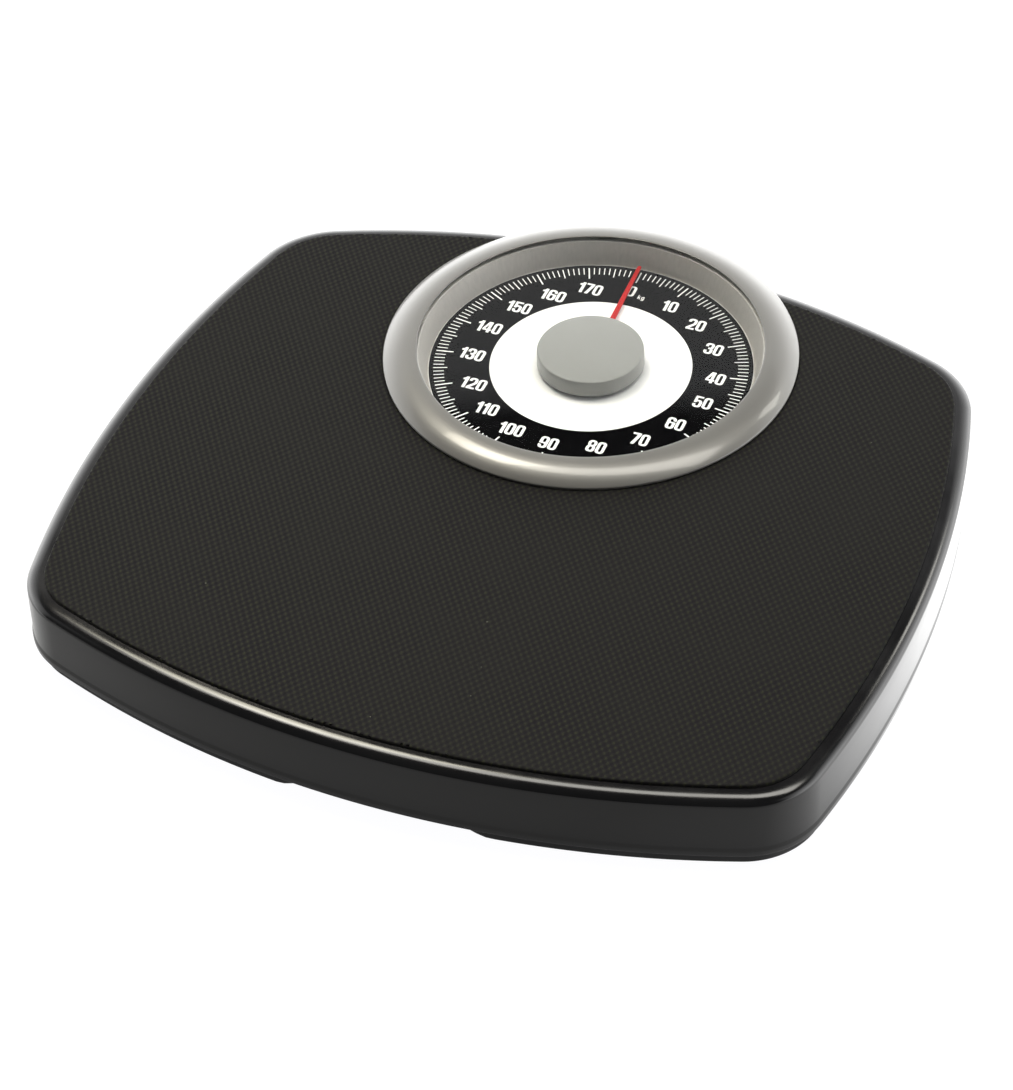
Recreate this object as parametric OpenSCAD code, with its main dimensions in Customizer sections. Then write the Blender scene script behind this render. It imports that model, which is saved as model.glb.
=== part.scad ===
// Mechanical dial platform scale.
// The origin is on the ground under the middle of the scale: X to the right, Y towards the dial, Z up.
// Lengths are in millimetres and angles in degrees. The scale is drawn unloaded, and its pointer rests
// just short of the zero mark, as it does before the scale is set.

/* [Platform outline] */
// Half the distance between the outline's front corners, before rounding
front_half_w = 174; // [172:0.5:176]
// Half the distance between the outline's back corners, before rounding
back_half_w = 170; // [168:0.5:172]
// Half the distance between the front and back corner lines
half_depth = 137.5; // [136:0.5:139]
// How far the front edge bows out
front_bow = 33.2; // [31:0.2:35]
// How far the back edge bows out
back_bow = 38.2; // [37:0.2:39]
// How far the side edges bow out
side_bow = 18.6; // [18:0.2:20]
// Radius of the front corners
front_corner_r = 30; // [26:1:34]
// Radius of the back corners
back_corner_r = 36; // [32:1:38]
// Place of the outline's middle along Y
outline_y = -10; // [-11:0.5:-9]

/* [Heights] */
// Height of the mat's top surface above the ground
mat_top = 42; // [41.5:0.5:43]
// Thickness of the mat
mat_t = 1.3; // [1.2:0.1:1.5]
// Thickness of the platform's sheet metal
sheet_t = 1.2; // [1:0.1:1.3]
// Height of the skirt's lower edge above the ground
lip_z = 8.5; // [8.3:0.1:10]
// Thickness of the rubber feet
foot_t = 1.5; // [1.2:0.1:2]

/* [Dial] */
// Place of the dial's centre along Y
dial_y = 90; // [90:0.5:91]
// Outer radius of the bezel
bezel_r = 100; // [99:0.5:100]
// Radius of the bezel's inner edge
window_r = 83.4; // [83:0.2:84]
// Radius of the dial plate
dial_r = 78.6; // [77:0.2:78.8]
// Height of the dial plate's face
dial_z = 33.6; // [33.4:0.1:33.8]
// Radius of the pointer's hub
hub_r = 26; // [22:0.5:28]
// Length of the pointer from the dial's centre
needle_len = 77.5; // [70:0.5:78]
// Angle at which the pointer rests, anticlockwise from +Y
needle_rest = 2; // [0:0.5:3]

/* [Levers] */
// Height of all lever pins above the ground
pin_z = 24; // [23.5:0.5:24.5]
// Radius of the lever pins
pin_r = 2.5; // [2:0.25:2.5]
// Sideways place of the long lever's pins
front_pin_x = 118; // [116:0.5:120]
// Place of the long lever's fulcrum along Y
front_fulcrum_y = -150; // [-151:0.5:-149]
// Sideways place of the short levers' pins
back_pin_x = 135; // [133:0.5:136]
// Place of the short levers' fulcrum along Y
back_fulcrum_y = 110; // [109:0.5:111]
// Distance from each fulcrum to its load pin
load_arm = 20; // [19:0.5:20]
// Distance from each fulcrum to the pin that joins a short lever to the long lever
join_arm = 130; // [129.5:0.5:130.5]

/* [Dial drive] */
// Travel of the calibrating plate at full load
plate_travel = 7; // [6:0.5:7]
// Length of the bell crank's short arm
crank_short = 7.5; // [7.5:0.1:7.8]
// Number of teeth on the pinion
pinion_teeth = 12; // [12:1:12]
// Module of the pinion and the rack
gear_module = 0.4; // [0.4:0.05:0.4]

/* [Hidden] */

$fn = 64;
eps = 0.01;
run_gap = 0.05;
fit_gap = 0.02;

// Platform outline
lip_off = 9.3;
dial = [0, dial_y];
bulge_r = 87.5;
bulge_fillet_r = 25;
front_arc_r = (pow(front_half_w, 2) + pow(front_bow, 2)) / (2 * front_bow);
back_arc_r = (pow(back_half_w, 2) + pow(back_bow, 2)) / (2 * back_bow);
side_dx = front_half_w - back_half_w;
side_half = norm([side_dx, 2 * half_depth]) / 2;
side_arc_r = (pow(side_half, 2) + pow(side_bow, 2)) / (2 * side_bow);
side_out = [2 * half_depth, side_dx] / (2 * side_half);
front_c = [0, outline_y - half_depth - front_bow + front_arc_r];
back_c = [0, outline_y + half_depth + back_bow - back_arc_r];
side_c = [(front_half_w + back_half_w) / 2, outline_y] - side_out * (side_arc_r - side_bow);

// Where two circles meet; side picks one of the two points
function circles_meet(a, ra, b, rb, side) =
  let (d = norm(b - a), u = (b - a) / d, x = (d * d + ra * ra - rb * rb) / (2 * d))
  a + u * x + side * sqrt(ra * ra - x * x) * [-u[1], u[0]];
function heading(from, to) = atan2(to[1] - from[1], to[0] - from[0]);
function arc(c, r, a0, a1, n) =
  [for (i = [0:n - 1]) let (a = a0 + (a1 - a0) * i / n) c + r * [cos(a), sin(a)]];

front_corner_c = circles_meet(front_c, front_arc_r - front_corner_r,
                              side_c, side_arc_r - front_corner_r, 1);
back_corner_c = circles_meet(back_c, back_arc_r - back_corner_r,
                             side_c, side_arc_r - back_corner_r, -1);
fillet_c = circles_meet(back_c, back_arc_r + bulge_fillet_r, dial, bulge_r + bulge_fillet_r, -1);

// Right half of the outline, from the middle of the back round to the middle of the front.
// off moves the whole outline outwards.
function half_outline(off) = concat(
  arc(dial, bulge_r + off, 90, heading(dial, fillet_c), 8),
  arc(fillet_c, bulge_fillet_r - off, heading(fillet_c, dial) + 360,
      heading(fillet_c, back_c) + 360, 4),
  arc(back_c, back_arc_r + off, heading(back_c, fillet_c), heading(back_c, back_corner_c), 7),
  arc(back_corner_c, back_corner_r + off, heading(back_c, back_corner_c),
      heading(side_c, back_corner_c), 8),
  arc(side_c, side_arc_r + off, heading(side_c, back_corner_c),
      heading(side_c, front_corner_c), 9),
  arc(front_corner_c, front_corner_r + off, heading(side_c, front_corner_c),
      heading(front_c, front_corner_c), 8),
  arc(front_c, front_arc_r + off, heading(front_c, front_corner_c), -90, 9));
function outline(off) = let (h = half_outline(off), n = len(h)) concat(
  h, [[0, front_c[1] - front_arc_r - off]], [for (i = [n - 1:-1:1]) [-h[i][0], h[i][1]]]);

// Heights of the layers
panel_top = mat_top - mat_t;
panel_under = panel_top - sheet_t;
floor_under = 8;
floor_t = 1.2;
floor_top = floor_under + floor_t;
lobe_floor = foot_t + floor_t;
wall_top = 20;
base_off = 6.5;

// Base pan lobes. The gap between the front lobes lies a little to the right of the middle.
lobe_gap_x = 7;
lobe_gap_half = 31.5;
lobe_front_y = -95;
lobe_back_x = 95;
lobe_back_y = 55;
lobe_slope = 18;
far = 260;

// Dial parts
cup_floor_t = 1;
plate_t = 0.6;
cup_under = dial_z - plate_t - cup_floor_t;
cup_seat_r = 87.3;
panel_hole_r = 84;
mat_hole_r = 90;
lens_z = 45.4;
lens_t = 1.4;
lens_r = 86.5;
bezel_base_z = mat_top + 0.45;
bezel_edge_h = 0.6;
bezel_rise = 4.9;
bezel_t = 0.9;
shaft_r = 1.25;
hub_under = 35.5;
hub_top = 43.8;
hub_wall = 1.5;
needle_z = 36.2;
needle_t = 0.6;
boss_z = needle_z + needle_t;

// Lever parts
bar_t = 3;
bar_low = 18;
bar_high = 30;
ear_t = 2;
ear_gap = 4;
nose_y = outline_y;
nose_ear_x = 35.9;
nose_ear_t = 1.6;
arm_end_x = nose_ear_x + nose_ear_t + bar_t / 2;
join_y = back_fulcrum_y - join_arm;
join_x = 30;
plate_y = nose_y;
plate_thick = 2;
tongue_t = 2;
tongue_gap = 0.15;
spring_x = 15;
hook_z = 19.5;

// Bell crank and rack
crank_y = 1;
crank_z = 27.5;
crank_half = asin(plate_travel / (2 * crank_short));
pitch_r = gear_module * pinion_teeth / 2;
tooth_pitch = PI * gear_module;
rack_travel = 2 * PI * pitch_r;
crank_long = rack_travel / (2 * sin(crank_half));
crank_x = -9.2;
crank_t = 2;
crank_pin_r = 1.1;
drive_pin = [crank_y - crank_short * cos(crank_half), crank_z + crank_short * sin(crank_half)];
rack_pin = [crank_y - crank_long * sin(crank_half), crank_z - crank_long * cos(crank_half)];
rack_low = 14.9;
rack_high = 17.4;
rack_back_x = -6.6;
rack_tail_y = 100;
tooth_lean = tan(20);
tooth_slack = 0.05;
rack_tip = 0.28;
rack_root = 0.45;
pinion_low = 13.6;
pinion_high = 18.6;

// Zero adjuster
zero_x = 14;
zero_z = 12.5;
zero_rod_r = 2;
zero_wheel_r = 10;
zero_wheel_y = 158;

// A prism whose section is drawn in the XZ plane, from y0 to y1
module along_y(y0, y1) translate([0, y1, 0]) rotate([90, 0, 0]) linear_extrude(y1 - y0) children();
// A prism whose section is drawn in the YZ plane, from x0 to x1
module along_x(x0, x1) translate([x0, 0, 0]) rotate([90, 0, 90]) linear_extrude(x1 - x0) children();
module slab(z0, z1) translate([0, 0, z0]) linear_extrude(z1 - z0) children();
module box(low, high) translate(low) cube(high - low);
module rod_x(x0, x1, y, z, r) translate([x0, y, z]) rotate([0, 90, 0]) cylinder(r = r, h = x1 - x0);
module rod_y(y0, y1, x, z, r) translate([x, y0, z]) rotate([-90, 0, 0]) cylinder(r = r, h = y1 - y0);
module rod_z(z0, z1, x, y, r) translate([x, y, z0]) cylinder(r = r, h = z1 - z0);
module on_side(s) mirror([s < 0 ? 1 : 0, 0, 0]) children();
module both_sides() for (s = [-1, 1]) on_side(s) children();
module left_side() on_side(-1) children();

// A strip of metal of thickness t that follows a bent path
function step_normal(p, q) = let (d = q - p) [-d[1], d[0]] / norm(d);
function bend_normal(path, i) =
  i == 0 ? step_normal(path[0], path[1]) :
  i == len(path) - 1 ? step_normal(path[i - 1], path[i]) :
  let (a = step_normal(path[i - 1], path[i]), m = a + step_normal(path[i], path[i + 1]))
  m / (m * a);
module ribbon(path, t) polygon(concat(
  [for (i = [0:len(path) - 1]) path[i] + bend_normal(path, i) * t / 2],
  [for (i = [len(path) - 1:-1:0]) path[i] - bend_normal(path, i) * t / 2]));

// A close-wound coil as one turned sleeve with a ripple for each turn, from z0 to z1
module coil(r, wire, z0, z1) {
  turns = round((z1 - z0) / wire);
  pitch = (z1 - z0) / turns;
  rotate_extrude($fn = 32)
    polygon(concat([[r - wire, z0]],
      [for (i = [0:turns - 1]) each [
        [r - wire * 0.35, z0 + i * pitch],
        [r, z0 + (i + 0.3) * pitch],
        [r, z0 + (i + 0.7) * pitch]]],
      [[r - wire * 0.35, z1], [r - wire, z1]]));
}

// ---- Base ----

module outline_2d(off) polygon(outline(off));

// Where a front lobe begins, out from the middle; s is -1 on the left and 1 on the right
function lobe_front_x(s) = lobe_gap_half + s * lobe_gap_x;

// Plan of the lobes, drawn in by d
module lobes_2d(d) intersection() {
  outline_2d(base_off - d);
  for (s = [-1, 1]) on_side(s) {
    translate([lobe_front_x(s) + d, -far]) square([far, far + lobe_front_y - d]);
    translate([lobe_back_x + d, lobe_back_y + d]) square([far, far]);
  }
}

// The lobes' undersides rise to the floor in a smooth slope at each inner end
function ease(t) = t * t * (3 - 2 * t);
module slope_section(inner, d) polygon(concat(
  [for (i = [0:8]) [inner + lobe_slope * i / 8,
                    foot_t + (floor_under - foot_t) * (1 - ease(i / 8)) + d]],
  [[far, foot_t + d], [far, wall_top], [inner, wall_top]]));
module lobe_block(d, top) intersection() {
  slab(foot_t, top) lobes_2d(d);
  union() {
    for (s = [-1, 1]) on_side(s) intersection() {
      along_y(-far, lobe_front_y) slope_section(lobe_front_x(s), d);
      mirror([0, 1, 0]) along_x(0, far) slope_section(-lobe_front_y, d);
    }
    both_sides() intersection() {
      along_y(lobe_back_y, far) slope_section(lobe_back_x, d);
      along_x(0, far) slope_section(lobe_back_y, d);
    }
  }
}

function foot_spot(front) = front ? [150, -125] : [156, 80];
foot_r = 14;
stud_r = 3;
stud_head_r = 4.2;
stud_head_h = 1.4;
pillar_r = 1.5;
lower_bush_r = 2.5;
rivet_r = 1.5;
module base_pan() color([0.06, 0.06, 0.065]) difference() {
  union() {
    slab(floor_under, floor_top) outline_2d(base_off);
    lobe_block(0, floor_top);
    slab(floor_under, wall_top) difference() {
      outline_2d(base_off);
      outline_2d(base_off - floor_t);
    }
  }
  lobe_block(floor_t, floor_top + eps);
  for (front = [true, false])
    both_sides() translate(foot_spot(front)) rod_z(0, 5, 0, 0, stud_r + run_gap);
  both_sides() bridge_screw_places() rod_z(floor_under - 1, floor_top + 1, 0, 0, screw_hole_r);
  pillar_places() rod_z(floor_under - 1, floor_top + 1, 0, 0, pillar_r + fit_gap);
  translate([0, dial_y]) rod_z(floor_under - 1, floor_top + 1, 0, 0, lower_bush_r + fit_gap);
  for (front = [true, false]) both_sides() rivet_places(front)
    rod_z(0, 5, 0, 0, rivet_r + fit_gap);
  box([zero_x - zero_wheel_r - 1, zero_wheel_y - 6, floor_under - 1],
      [zero_x + zero_wheel_r + 1, zero_wheel_y + 6, floor_top + 1]);
}

module foot(front) color([0.05, 0.05, 0.05]) translate(foot_spot(front)) {
  rod_z(0, foot_t, 0, 0, foot_r);
  rod_z(foot_t, lobe_floor, 0, 0, stud_r);
  rod_z(lobe_floor, lobe_floor + stud_head_h, 0, 0, stud_head_r);
}

// ---- Fulcrum brackets and platform posts ----

function pin_x(front) = front ? front_pin_x : back_pin_x;
function fulcrum_y(front) = front ? front_fulcrum_y : back_fulcrum_y;
function load_y(front) = fulcrum_y(front) + (front ? load_arm : -load_arm);
module rivet_places(front) for (dx = [-11, 11])
  translate([pin_x(front) + dx, fulcrum_y(front)]) children();

// Two upright ears beside the lever's bar
ear_half_y = 6;
ear_reach = ear_gap + ear_t;
module ears(low, high) for (s = [-1, 1])
  box([(s > 0 ? ear_gap : -ear_reach), -ear_half_y, low],
      [(s > 0 ? ear_reach : -ear_gap), ear_half_y, high]);

bracket_half_x = 14;
bracket_half_y = 8;
bracket_top = lobe_floor + 1.6;
module bracket(front) color([0.7, 0.71, 0.72]) difference() {
  translate([pin_x(front), fulcrum_y(front)]) {
    box([-bracket_half_x, -bracket_half_y, lobe_floor], [bracket_half_x, bracket_half_y, bracket_top]);
    ears(bracket_top, pin_z + 5);
  }
  rod_x(pin_x(front) - 9, pin_x(front) + 9, fulcrum_y(front), pin_z, pin_r + run_gap);
  rivet_places(front) rod_z(0, 6, 0, 0, rivet_r + fit_gap);
}

rivet_head_r = 2.6;
rivet_head_h = 1.2;
module bracket_rivets() color([0.75, 0.75, 0.76]) for (front = [true, false])
  both_sides() rivet_places(front) {
    rod_z(foot_t, bracket_top, 0, 0, rivet_r);
    rod_z(bracket_top, bracket_top + rivet_head_h, 0, 0, rivet_head_r);
  }

// A post hangs from the platform and rests on a load pin through open notches in its ears
post_half_x = 11;
post_half_y = 8;
post_pad_z = panel_under - 1.4;
notch_gap = 0.1;
module post(front) color([0.7, 0.71, 0.72]) difference() {
  translate([pin_x(front), load_y(front)]) {
    box([-post_half_x, -post_half_y, post_pad_z], [post_half_x, post_half_y, panel_under]);
    ears(pin_z - 4, post_pad_z);
  }
  translate([pin_x(front) - 9, load_y(front), 0]) {
    rod_x(0, 18, 0, pin_z, pin_r + notch_gap);
    box([0, -pin_r - notch_gap, pin_z - 6], [18, pin_r + notch_gap, pin_z]);
  }
}

// ---- Levers ----

long_arm_path = [[front_pin_x, front_fulcrum_y - 8], [front_pin_x, front_fulcrum_y + 28],
                 [arm_end_x, nose_y - 34], [arm_end_x, nose_y - 17]];
module pin_hole(x, y, r) rod_x(x - 4, x + 4, y, pin_z, r + fit_gap);
nose_rivet_r = 1.2;
module nose_rivet_places() for (dz = [-3.4, 3.4]) translate([0, nose_y - 24, pin_z + dz]) children();

module long_lever_arm() color([0.62, 0.63, 0.64]) difference() {
  slab(bar_low, bar_high) ribbon(long_arm_path, bar_t);
  for (y = [front_fulcrum_y, load_y(true)]) pin_hole(front_pin_x, y, pin_r);
  nose_rivet_places() rod_x(arm_end_x - 3, arm_end_x + 3, 0, 0, nose_rivet_r + fit_gap);
}

// The short levers' end pins run in slots with this much play
join_pin_r = 2;
join_gap = 0.15;

// Cross plate of the long lever, with the tongue that pulls the calibrating plate down
// and an ear at each end with a slot for the short lever's end pin
module nose_plate() color([0.66, 0.67, 0.68]) difference() {
  union() {
    box([-nose_ear_x, nose_y - 30, pin_z - tongue_t / 2],
        [nose_ear_x, nose_y - 19, pin_z + tongue_t / 2]);
    box([-5, nose_y - 19, pin_z - tongue_t / 2], [5, nose_y + 5, pin_z + tongue_t / 2]);
    both_sides() box([nose_ear_x, nose_y - 34, pin_z - 5.5],
                     [nose_ear_x + nose_ear_t, join_y + 6, pin_z + 5.5]);
  }
  both_sides() {
    for (dy = [-0.5, 0.5]) pin_hole(nose_ear_x, join_y + dy, join_pin_r + join_gap);
    box([nose_ear_x - 1, join_y - 0.5, pin_z - join_pin_r - join_gap - fit_gap],
        [nose_ear_x + 3, join_y + 0.5, pin_z + join_pin_r + join_gap + fit_gap]);
    nose_rivet_places() rod_x(nose_ear_x - 1, nose_ear_x + 3, 0, 0, nose_rivet_r + fit_gap);
  }
}

module nose_rivets() color([0.75, 0.75, 0.76]) both_sides() nose_rivet_places() {
  stack_end = nose_ear_x + nose_ear_t + bar_t;
  rod_x(nose_ear_x, stack_end, 0, 0, nose_rivet_r);
  rod_x(nose_ear_x - 1, nose_ear_x, 0, 0, 2.1);
  rod_x(stack_end, stack_end + 0.8, 0, 0, 1.9);
}

pin_reach = ear_reach + 1;
module lever_pin(x, y) rod_x(x - pin_reach, x + pin_reach, y, pin_z, pin_r);
module front_pins(y) both_sides() lever_pin(front_pin_x, y);
module front_fulcrum_pins() color([0.8, 0.8, 0.82]) front_pins(front_fulcrum_y);
module front_load_pins() color([0.8, 0.8, 0.82]) front_pins(load_y(true));

short_path = [[back_pin_x, back_fulcrum_y + 8], [back_pin_x, back_fulcrum_y - 32],
              [join_x, join_y + 24], [join_x, join_y - 3.5]];
module short_lever() color([0.62, 0.63, 0.64]) difference() {
  slab(bar_low, bar_high) ribbon(short_path, bar_t);
  for (y = [back_fulcrum_y, load_y(false)]) pin_hole(back_pin_x, y, pin_r);
  pin_hole(join_x, join_y, join_pin_r);
}
module short_lever_pins() color([0.8, 0.8, 0.82]) {
  for (y = [back_fulcrum_y, load_y(false)]) lever_pin(back_pin_x, y);
  rod_x(join_x - bar_t / 2, nose_ear_x + nose_ear_t + 0.8, join_y, pin_z, join_pin_r);
}

// ---- Main springs, bridge and calibrating plate ----

module bridge_screw_places() translate([46.5, plate_y]) children();
bridge_web_z = 33.5;
bridge_top = 38;
spring_eye_z = 36;
screw_r = 1.5;
screw_hole_r = 1.6;
module spring_bridge() color([0.7, 0.71, 0.72]) difference() {
  union() {
    box([-41, plate_y - 1, bridge_web_z], [41, plate_y + 1, bridge_top]);
    both_sides() {
      box([39, plate_y - 5, floor_top], [41, plate_y + 5, bridge_top]);
      box([41, plate_y - 5, floor_top], [52, plate_y + 5, floor_top + 2]);
    }
  }
  for (s = [-1, 1]) {
    rod_y(plate_y - 3, plate_y + 3, s * spring_x, spring_eye_z, 1.1);
    box([s * spring_x - 5.5, plate_y - 3, bridge_web_z - 1],
        [s * spring_x + 5.5, plate_y + 3, bridge_web_z + 1.1]);
  }
  both_sides() bridge_screw_places() rod_z(0, 13, 0, 0, screw_hole_r);
}
module bridge_screws() color([0.75, 0.75, 0.76]) both_sides() bridge_screw_places() {
  rod_z(floor_under - 1.5, floor_top + 2, 0, 0, screw_r);
  rod_z(floor_top + 2, floor_top + 3.6, 0, 0, 3);
}

// Tension spring with a hook through the bridge and a hook through the plate
hook_wire = 0.75;
module hook(x, z, r) translate([x, plate_y, z]) rotate([0, 90, 0])
  rotate_extrude($fn = 32) translate([r, 0]) circle(r = hook_wire, $fn = 24);
module main_spring(x) color([0.8, 0.8, 0.82]) {
  low = hook_z + 3.9;
  high = spring_eye_z - 4.6;
  hook(x, spring_eye_z - 2.5, 2.5);
  hook(x, hook_z + 2.2, 2.2);
  translate([x, plate_y]) {
    coil(4.2, 1.7, low, high);
    difference() {
      rod_z(low, high, 0, 0, 3);
      rod_z(low + 1.1, high - 1.1, 0, 0, 2.2);
    }
  }
}

plate_low = hook_z - 2;
wing_top = hook_z + 2;
plate_high = 33.4;
module calibrating_plate() color([0.66, 0.67, 0.68]) difference() {
  union() {
    along_y(plate_y - plate_thick / 2, plate_y + plate_thick / 2) difference() {
      polygon([[-21, plate_low], [-10, plate_low], [-8, plate_low + 2.5], [8, plate_low + 2.5],
               [10, plate_low], [21, plate_low], [21, wing_top], [9, wing_top],
               [9, plate_high], [-9, plate_high], [-9, wing_top], [-21, wing_top]]);
      translate([-6, pin_z - tongue_t / 2 - tongue_gap]) square([12, tongue_t + 2 * tongue_gap]);
    }
    box([-6, plate_y, drive_pin[1] - 3], [-4, drive_pin[0] + 2.8, plate_high]);
  }
  for (s = [-1, 1]) rod_y(plate_y - 3, plate_y + 3, s * spring_x, hook_z, 1.2);
  box([-7, drive_pin[0] - 2.2, drive_pin[1] - crank_pin_r - 0.18],
      [-3, drive_pin[0] + 1.4, drive_pin[1] + crank_pin_r + 0.18]);
}

// ---- Bell crank, rack and pointer ----

module crank_bracket() color([0.7, 0.71, 0.72]) difference() {
  union() {
    box([-13.4, crank_y - 5, floor_top], [-11.4, crank_y + 5, crank_z + 4]);
    box([-24, crank_y - 5, floor_top], [-13.4, crank_y + 5, floor_top + 2]);
  }
  rod_x(-15, -10, crank_y, crank_z, 1.5 + fit_gap);
}
module crank_pivot_pin() color([0.8, 0.8, 0.82]) {
  rod_x(-13.4, -6.9, crank_y, crank_z, 1.5);
  rod_x(-6.9, -5.9, crank_y, crank_z, 2.6);
}

// A flat crank: round ends joined by straight arms
module link_2d(a, b, ra, rb) let (u = (b - a) / norm(b - a), v = [-u[1], u[0]])
  polygon([a + v * ra, a - v * ra, b - v * rb, b + v * rb]);
module bell_crank() color([0.72, 0.6, 0.32]) difference() {
  along_x(crank_x, crank_x + crank_t) {
    pivot = [crank_y, crank_z];
    translate(pivot) circle(r = 4);
    translate(drive_pin) circle(r = 2.2);
    translate(rack_pin) circle(r = 1.9);
    link_2d(pivot, drive_pin, 3.2, 2.2);
    link_2d(pivot, rack_pin, 3.2, 1.9);
  }
  rod_x(crank_x - 1, crank_x + crank_t + 1, crank_y, crank_z, 1.5 + run_gap);
  for (p = [drive_pin, rack_pin])
    rod_x(crank_x - 1, crank_x + crank_t + 1, p[0], p[1], crank_pin_r + fit_gap);
}
module crank_pins() color([0.8, 0.8, 0.82]) {
  rod_x(crank_x, -3.4, drive_pin[0], drive_pin[1], crank_pin_r);
  rod_x(crank_x, -3.6, rack_pin[0], rack_pin[1], crank_pin_r);
}

// The rack's teeth point towards +X; one tooth is centred on the pinion's axis at zero load
fork_gap = 0.35;
rack_teeth_ahead = 3;
rack_teeth_behind = 16;
module rack() color([0.75, 0.63, 0.34]) {
  half = tooth_pitch / 4 - tooth_slack;
  slab(rack_low, rack_high) {
    polygon([[rack_back_x, rack_pin[0] - 4], [-pitch_r - rack_root, rack_pin[0] - 4],
             [-pitch_r - rack_root, rack_tail_y], [rack_back_x, rack_tail_y]]);
    for (k = [-rack_teeth_behind:rack_teeth_ahead])
      translate([-pitch_r, dial_y + k * tooth_pitch])
        polygon([[-rack_root - eps, half + rack_root * tooth_lean],
                 [rack_tip, half - rack_tip * tooth_lean],
                 [rack_tip, -half + rack_tip * tooth_lean],
                 [-rack_root - eps, -half - rack_root * tooth_lean]]);
  }
  along_x(rack_back_x, rack_back_x + 2.4) difference() {
    translate([rack_pin[0] - 4, 10]) square([8, rack_high - 10]);
    translate([rack_pin[0] - crank_pin_r - fork_gap, 9])
      square([2 * (crank_pin_r + fork_gap), rack_low - 9]);
  }
  // lug for the rack's spring
  box([rack_back_x, rack_tail_y, rack_low], [rack_back_x + 3.6, rack_tail_y + 2, rack_high]);
}

module rack_guide(y0, y1, tooth_side) color([0.9, 0.9, 0.88]) difference() {
  box([rack_back_x - 2.4, y0, floor_top], [tooth_side, y1, rack_high + 1.8]);
  box([rack_back_x - 0.15, y0 - 1, rack_low - 0.15],
      [tooth_side - (tooth_side > -pitch_r ? 1.6 : -1), y1 + 1, rack_high + 0.15]);
}
module rack_guide_front() rack_guide(28, 36, -pitch_r - rack_root + 1.75);
module rack_guide_rear() rack_guide(82, 98, -pitch_r - rack_root - 0.6);

spring_axis = [rack_back_x + 1.8, (rack_low + rack_high) / 2];
post_y = 142;
module rack_spring() color([0.8, 0.8, 0.82]) translate([spring_axis[0], 0, spring_axis[1]]) {
  translate([0, rack_tail_y + 4, 0]) rotate([-90, 0, 0]) coil(2.2, 0.7, 0, 28);
  rod_y(rack_tail_y + 2, rack_tail_y + 5, 0, 0, 1.9);
  rod_y(rack_tail_y + 31, post_y - 2, 0, 0, 1.9);
}
module rack_spring_post() color([0.75, 0.75, 0.76]) {
  box([spring_axis[0] - 3, post_y - 2, floor_top], [spring_axis[0] + 3, post_y, rack_high + 2]);
  box([spring_axis[0] - 3, post_y, floor_top], [spring_axis[0] + 3, post_y + 8, floor_top + 1.6]);
}

// Involute pinion with a gap facing the rack
pressure = 20;
base_r = pitch_r * cos(pressure);
pinion_tip = 0.32;
function roll_at(r) = sqrt(max(0, pow(r / base_r, 2) - 1));
function involute(u) = u * 180 / PI - atan(u);
module pinion_2d() {
  outer_u = roll_at(pitch_r + pinion_tip);
  half = 90 / pinion_teeth - tooth_slack / pitch_r * 180 / PI + involute(tan(pressure));
  flank = [for (i = [0:5]) let (u = outer_u * i / 5)
           [base_r * sqrt(1 + u * u), half - involute(u)]];
  circle(r = pitch_r - 0.5);
  for (k = [0:pinion_teeth - 1]) rotate((k + 0.5) * 360 / pinion_teeth)
    polygon(concat([[pitch_r - 0.7, 0]],
      [[(pitch_r - 0.6) * cos(half), -(pitch_r - 0.6) * sin(half)]],
      [for (p = flank) p[0] * [cos(p[1]), -sin(p[1])]],
      [for (i = [len(flank) - 1:-1:0]) flank[i][0] * [cos(flank[i][1]), sin(flank[i][1])]],
      [[(pitch_r - 0.6) * cos(half), (pitch_r - 0.6) * sin(half)]]));
}
module pinion() color([0.78, 0.66, 0.36]) translate([0, dial_y]) slab(pinion_low, pinion_high)
  difference() {
    pinion_2d();
    circle(r = shaft_r + fit_gap);
  }
module pointer_shaft() color([0.8, 0.8, 0.82])
  rod_z(floor_top + 1, hub_top - hub_wall, 0, dial_y, shaft_r);

module pointer_hub() color([0.6, 0.6, 0.59]) translate([0, dial_y]) difference() {
  rotate_extrude() polygon([
    [shaft_r + fit_gap, boss_z], [5, boss_z], [5, hub_top - hub_wall],
    [hub_r - hub_wall, hub_top - hub_wall], [hub_r - hub_wall, hub_under],
    [hub_r, hub_under], [hub_r, hub_top - 0.6], [hub_r - 0.6, hub_top],
    [0, hub_top], [0, hub_top - hub_wall + eps], [shaft_r + fit_gap, hub_top - hub_wall + eps]]);
  rotate(needle_rest) box([-1.8, hub_r - 4, hub_under - 1], [1.8, hub_r + 2, needle_z + needle_t + 0.2]);
}

module pointer_needle() color([0.85, 0.06, 0.05]) translate([0, dial_y]) rotate(needle_rest)
  slab(needle_z, needle_z + needle_t) difference() {
    tip_r = 1;
    root_half = 1.5;
    tip_y = needle_len - tip_r;
    union() {
      circle(r = 8);
      polygon([[-root_half, 6], [root_half, 6], [tip_r, tip_y], [-tip_r, tip_y]]);
      translate([0, tip_y]) circle(r = tip_r, $fn = 32);
    }
    circle(r = shaft_r + fit_gap);
  }

// ---- Mechanism plate, pillars and bushes ----

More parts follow.
